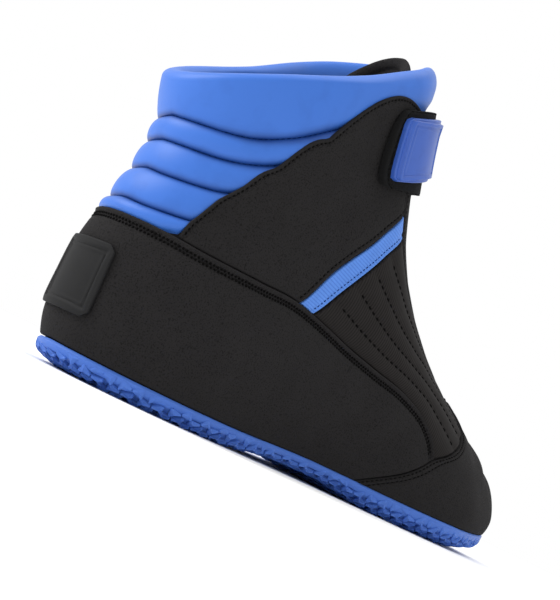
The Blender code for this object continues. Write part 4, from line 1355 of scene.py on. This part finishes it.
def stiff_lift(panel):
    """How far the strap's face is lifted over the cuff and all the way down its stiff ends."""
    ends = ramp(np.abs(panel.around - 0.5), *STIFF_ENDS)
    return np.maximum(cuff_share(panel), ends) * RIB_PUFF * (1.0 - SQUEEZE)


def on_seam(around, up=SEAM_UP):
    """Place a gap above the quarter seam."""
    return around, float(seam_height(around)) + up


def on_sole(around):
    """Place just above the sole's rim."""
    return around, float(sole_top(around)) + FOOT_RISE


def run_of(place, first, last, count):
    """Some places of one kind, evenly spaced around the last."""
    return [place(around) for around in np.linspace(first, last, count)]


def shifted(places, around=0.0, height=0.0):
    """Places moved round and up the last."""
    return [(place[0] + around, place[1] + height) for place in places]


def mirrored(places, about):
    """Places on the other side of the shoe, mirrored about the back, at 0, or the front, at one half."""
    return [(2.0 * about - around, height) for around, height in places]


def make_quarter():
    """Low band round the heel and both sides, up to the quarter seam."""
    seam = [*QUARTER_SEAM, *QUARTER_TIP]
    toe_seam = [on_sole(TOE_SEAM_FOOT), *TOE_SEAM]
    end = [*shifted(toe_seam[:TOE_SEAM_SPLIT], -SEAM_AROUND), QUARTER_TIP[-1]]
    foot = run_of(on_sole, -end[0][0], end[0][0], QUARTER_FOOT_POINTS)
    borders = (foot, mirrored(seam[:0:-1], 0.0) + seam, mirrored(end, 0.0), end)
    panel = Panel(borders, UNDER_LEVEL, QUARTER_LEVEL, roll=1.0, rows=QUARTER_ROWS,
                  relief=ridged(*QUARTER_LIP))
    return panel.put_on("quarter_nap", "nap", "black_nap", "quarter_band")


def make_toe():
    """Front panel over the toes, stepping out over the quarter."""
    start = [on_sole(TOE_SEAM_FOOT), *TOE_SEAM]
    end = mirrored(start, 0.5)
    foot = run_of(on_sole, start[0][0], end[0][0], TOE_FOOT_POINTS)
    borders = (foot, (start[-1], TOE_TOP, end[-1]), start, end)
    panel = Panel(borders, UNDER_LEVEL, TOE_LEVEL, step=1.7, roll=1.0, rows=TOE_ROWS,
                  relief=ridged(*TOE_WELT))
    return panel.put_on("toe_nap", "nap", "black_nap", "toe_panel")


def make_ankle(side, label):
    """Ankle panel between quarter seam, cuff, front and trim band, riding over the cuff's ribs."""
    places = np.linspace(PANEL_REAR, EYESTAY_REAR[0][0] - 2 * SEAM_AROUND, RIM_POINTS)[1:]
    foot = run_of(on_seam, PANEL_REAR, PANEL_CORNER, SEAM_POINTS)
    rim = [foot[0], *zip(places, scalloped(places))]
    borders = (foot, (rim[-1], PANEL_FOOT[-1]), rim, (foot[-1], *PANEL_FOOT))
    panel = Panel(borders, UNDER_LEVEL, ANKLE_LEVEL, side, rows=ANKLE_ROWS, relief=creases, lift=over_cuff)
    return panel.put_on("ankle_nap_" + label, "nap", "black_nap", "ankle_panel_" + label)


def make_band(side, label):
    """Narrow blue band under the ankle panel's lower edge."""
    foot = [on_seam(BAND_CORNER), *BAND_FOOT]
    top = shifted([on_seam(PANEL_CORNER)], SEAM_AROUND) + shifted(PANEL_FOOT, SEAM_AROUND, -SEAM_UP)
    borders = (foot, top, (foot[0], top[0]), (foot[-1], top[-1]))
    panel = Panel(borders, UNDER_LEVEL, BAND_LEVEL, side, step=1.0, roll=0.5, rows=BAND_ROWS, relief=creases)
    return panel.put_on("band_satin_" + label, "satin", "blue_padding", "trim_band_" + label)


def make_vent(side, label):
    """Channelled cloth panel between quarter seam, trim band, eyestay and toe seam."""
    top = shifted([on_seam(BAND_CORNER, SEAM_UP / 2)], 2 * SEAM_AROUND)
    top += shifted(BAND_FOOT, SEAM_AROUND, -SEAM_UP)
    seam = [place for place in QUARTER_SEAM if place[0] > BAND_CORNER + VENT_CLEARANCE]
    start = shifted([*seam, *QUARTER_TIP][::-1], SEAM_AROUND, SEAM_UP)
    foot = shifted(TOE_SEAM[TOE_SEAM_SPLIT:-1], -SEAM_AROUND, SEAM_UP)
    end = [place for place in EYESTAY_REAR[::-1] if place[1] < top[-1][1]]
    borders = ((start[0], *foot, EYESTAY_REAR[-1]), top, (*start, top[0]), (*end, top[-1]))
    panel = Panel(borders, UNDER_LEVEL, VENT_LEVEL, side, step=1.2, roll=0.6, relief=channelled)
    panel.put_on("vent_twill_" + label, "twill", "black_nap", "vent_panel_" + label)
    lines = [panel.line_at(rib / VENT_RIBS, VENT_TRIM) for rib in range(1, VENT_RIBS)]
    return [stitch_row(line, *VENT_STITCH) for line in lines]


def make_eyestay(side, label):
    """Strip along one side of the throat."""
    heights = np.linspace(EYESTAY_FOOT, EYESTAY_TOP, THROAT_POINTS)
    front = [(0.5 - throat_share(height) - 2 * SEAM_AROUND, height) for height in heights]
    rear = shifted(EYESTAY_REAR[::-1], 2 * SEAM_AROUND)
    borders = ((rear[0], front[0]), (rear[-1], front[-1]), rear, front)
    panel = Panel(borders, UNDER_LEVEL, ANKLE_LEVEL, side, step=1.4, rows=EYESTAY_ROWS, relief=creases)
    return panel.put_on("eyestay_nap_" + label, "nap", "black_nap", "eyestay_" + label)


def make_strap():
    """Ankle strap across the front of the shaft, with round ends and a stitched border."""
    end = mirrored(STRAP_END, 0.5)
    borders = ((STRAP_END[0], end[0]), (STRAP_END[-1], end[-1]), STRAP_END, end)
    panel = Panel(borders, STRAP_UNDER, STRAP_LEVEL, step=1.4, roll=1.0, rows=STRAP_ROWS,
                  relief=lambda piece: unevenness(piece.base), lift=stiff_lift, bed=over_ribs)
    return panel.put_on("strap_webbing", "strap_nap", "black_nap", "ankle_strap", STRAP_TRIM)


def moulded(panel, rim):
    """Relief of a moulded patch: a raised rim, a thin line inside it and a lower bare field."""
    line = np.exp(-(((panel.nearest - rim - MOULD_LINE_INSET) / MOULD_LINE_WIDTH) ** 2))
    field = ramp(panel.nearest, rim - MOULD_STEP, rim + MOULD_STEP)
    return MOULD_LINE_HEIGHT * line - MOULD_FIELD_DEPTH * field


def patch_relief(panel):
    """Relief of the strap's patch, with a ledge outside its raised rim."""
    return moulded(panel, PATCH_RIM) - PATCH_LEDGE_DROP * (1.0 - ramp(panel.nearest, *PATCH_LEDGE))


def make_patch():
    """Moulded blue patch on the strap's lateral end."""
    borders = ((PATCH_END[0], PATCH_FRONT[0]), (PATCH_END[-1], PATCH_FRONT[-1]), PATCH_END, PATCH_FRONT)
    panel = Panel(borders, PATCH_UNDER, PATCH_LEVEL, curve=straight_edge, step=0.4, roll=0.5,
                  relief=patch_relief, lift=stiff_lift)
    panel.put_on("patch_moulding", "patch", "blue_rubber", "strap_patch")


def make_badge():
    """Moulded rubber badge on the back of the heel, with cut corners, a raised border and a bare field."""
    middle, half = (BADGE_TOP + BADGE_FOOT) / 2.0, (BADGE_TOP - BADGE_FOOT) / 2.0

    def place(across, up):
        return across * BADGE_HALF, middle + up * half

    cut, slant = 1.0 - BADGE_CUT, 1.0 - BADGE_CUT / 2.0
    foot = ((-slant, -slant), (-cut, -1), (cut, -1), (slant, -slant))
    borders = (
        [place(across, up) for across, up in foot],
        [place(across, -up) for across, up in foot],
        [place(up, across) for across, up in foot],
        [place(-up, across) for across, up in foot],
    )
    panel = Panel(borders, BADGE_UNDER, BADGE_LEVEL, curve=straight_edge, step=0.4, roll=0.5,
                  relief=lambda piece: moulded(piece, BADGE_RIM))
    panel.put_on("badge_moulding", "badge", "black_rubber", "heel_badge")


def make_shoe():
    """Build every piece of the shoe."""
    make_outsole()
    make_insole()
    make_upper()
    blue = make_cuff()
    make_tongue()
    black = make_quarter() + make_toe()
    for side, label in ((1, "lateral"), (-1, "medial")):
        black += make_ankle(side, label)
        blue += make_band(side, label)
        black += make_vent(side, label) + make_eyestay(side, label)
    black += make_strap()
    make_patch()
    make_badge()
    make_stitching("black_stitching", black, "black_thread_and_shade", "black_nap")
    make_stitching("blue_stitching", blue, "blue_thread", "blue_padding")


# Studio

def make_floor():
    """Plain pale floor under the shoe."""
    bpy.ops.mesh.primitive_plane_add(size=FLOOR_SIZE, location=(0.0, 0.0, -FLOOR_DROP))
    floor = bpy.context.active_object
    floor.name = "floor"
    floor.data.materials.append(make_floor_material())


def add_light(name, place, size, power):
    """Soft square light aimed at the shoe."""
    data = bpy.data.lights.new(name, "AREA")
    data.size = size
    data.energy = power
    light = add_object(name, data)
    light.location = place
    light.rotation_euler = (Vector(LIGHT_AIM) - Vector(place)).to_track_quat("-Z", "Y").to_euler()


def make_lights():
    """Soft studio light from a bright room and two large panels."""
    world = bpy.data.worlds.new("studio")
    world.use_nodes = True
    world.node_tree.nodes["Background"].inputs["Color"].default_value = (1.0, 1.0, 1.0, 1.0)
    bpy.context.scene.world = world
    bpy.context.scene.view_settings.view_transform = "Standard"
    for light in LIGHTS:
        add_light(*light)


def make_camera():
    """Camera at the photo's angle round the shoe, just above the floor and rolled as the photo is."""
    turn = math.radians(CAMERA_AZIMUTH)
    place = Vector((math.sin(turn) * CAMERA_DISTANCE, -math.cos(turn) * CAMERA_DISTANCE, CAMERA_HEIGHT))
    data = bpy.data.cameras.new("camera")
    data.lens = CAMERA_LENS
    data.sensor_width = SENSOR
    data.clip_start = CAMERA_CLIP
    camera = add_object("camera", data)
    camera.location = place
    aim = (Vector(CAMERA_AIM) - place).to_track_quat("-Z", "Y").to_matrix()
    roll = Matrix.Rotation(math.radians(CAMERA_ROLL), 3, "Z")
    camera.rotation_euler = (aim @ roll).to_euler()
    bpy.context.scene.camera = camera


make_shoe()
make_floor()
make_lights()
make_camera()
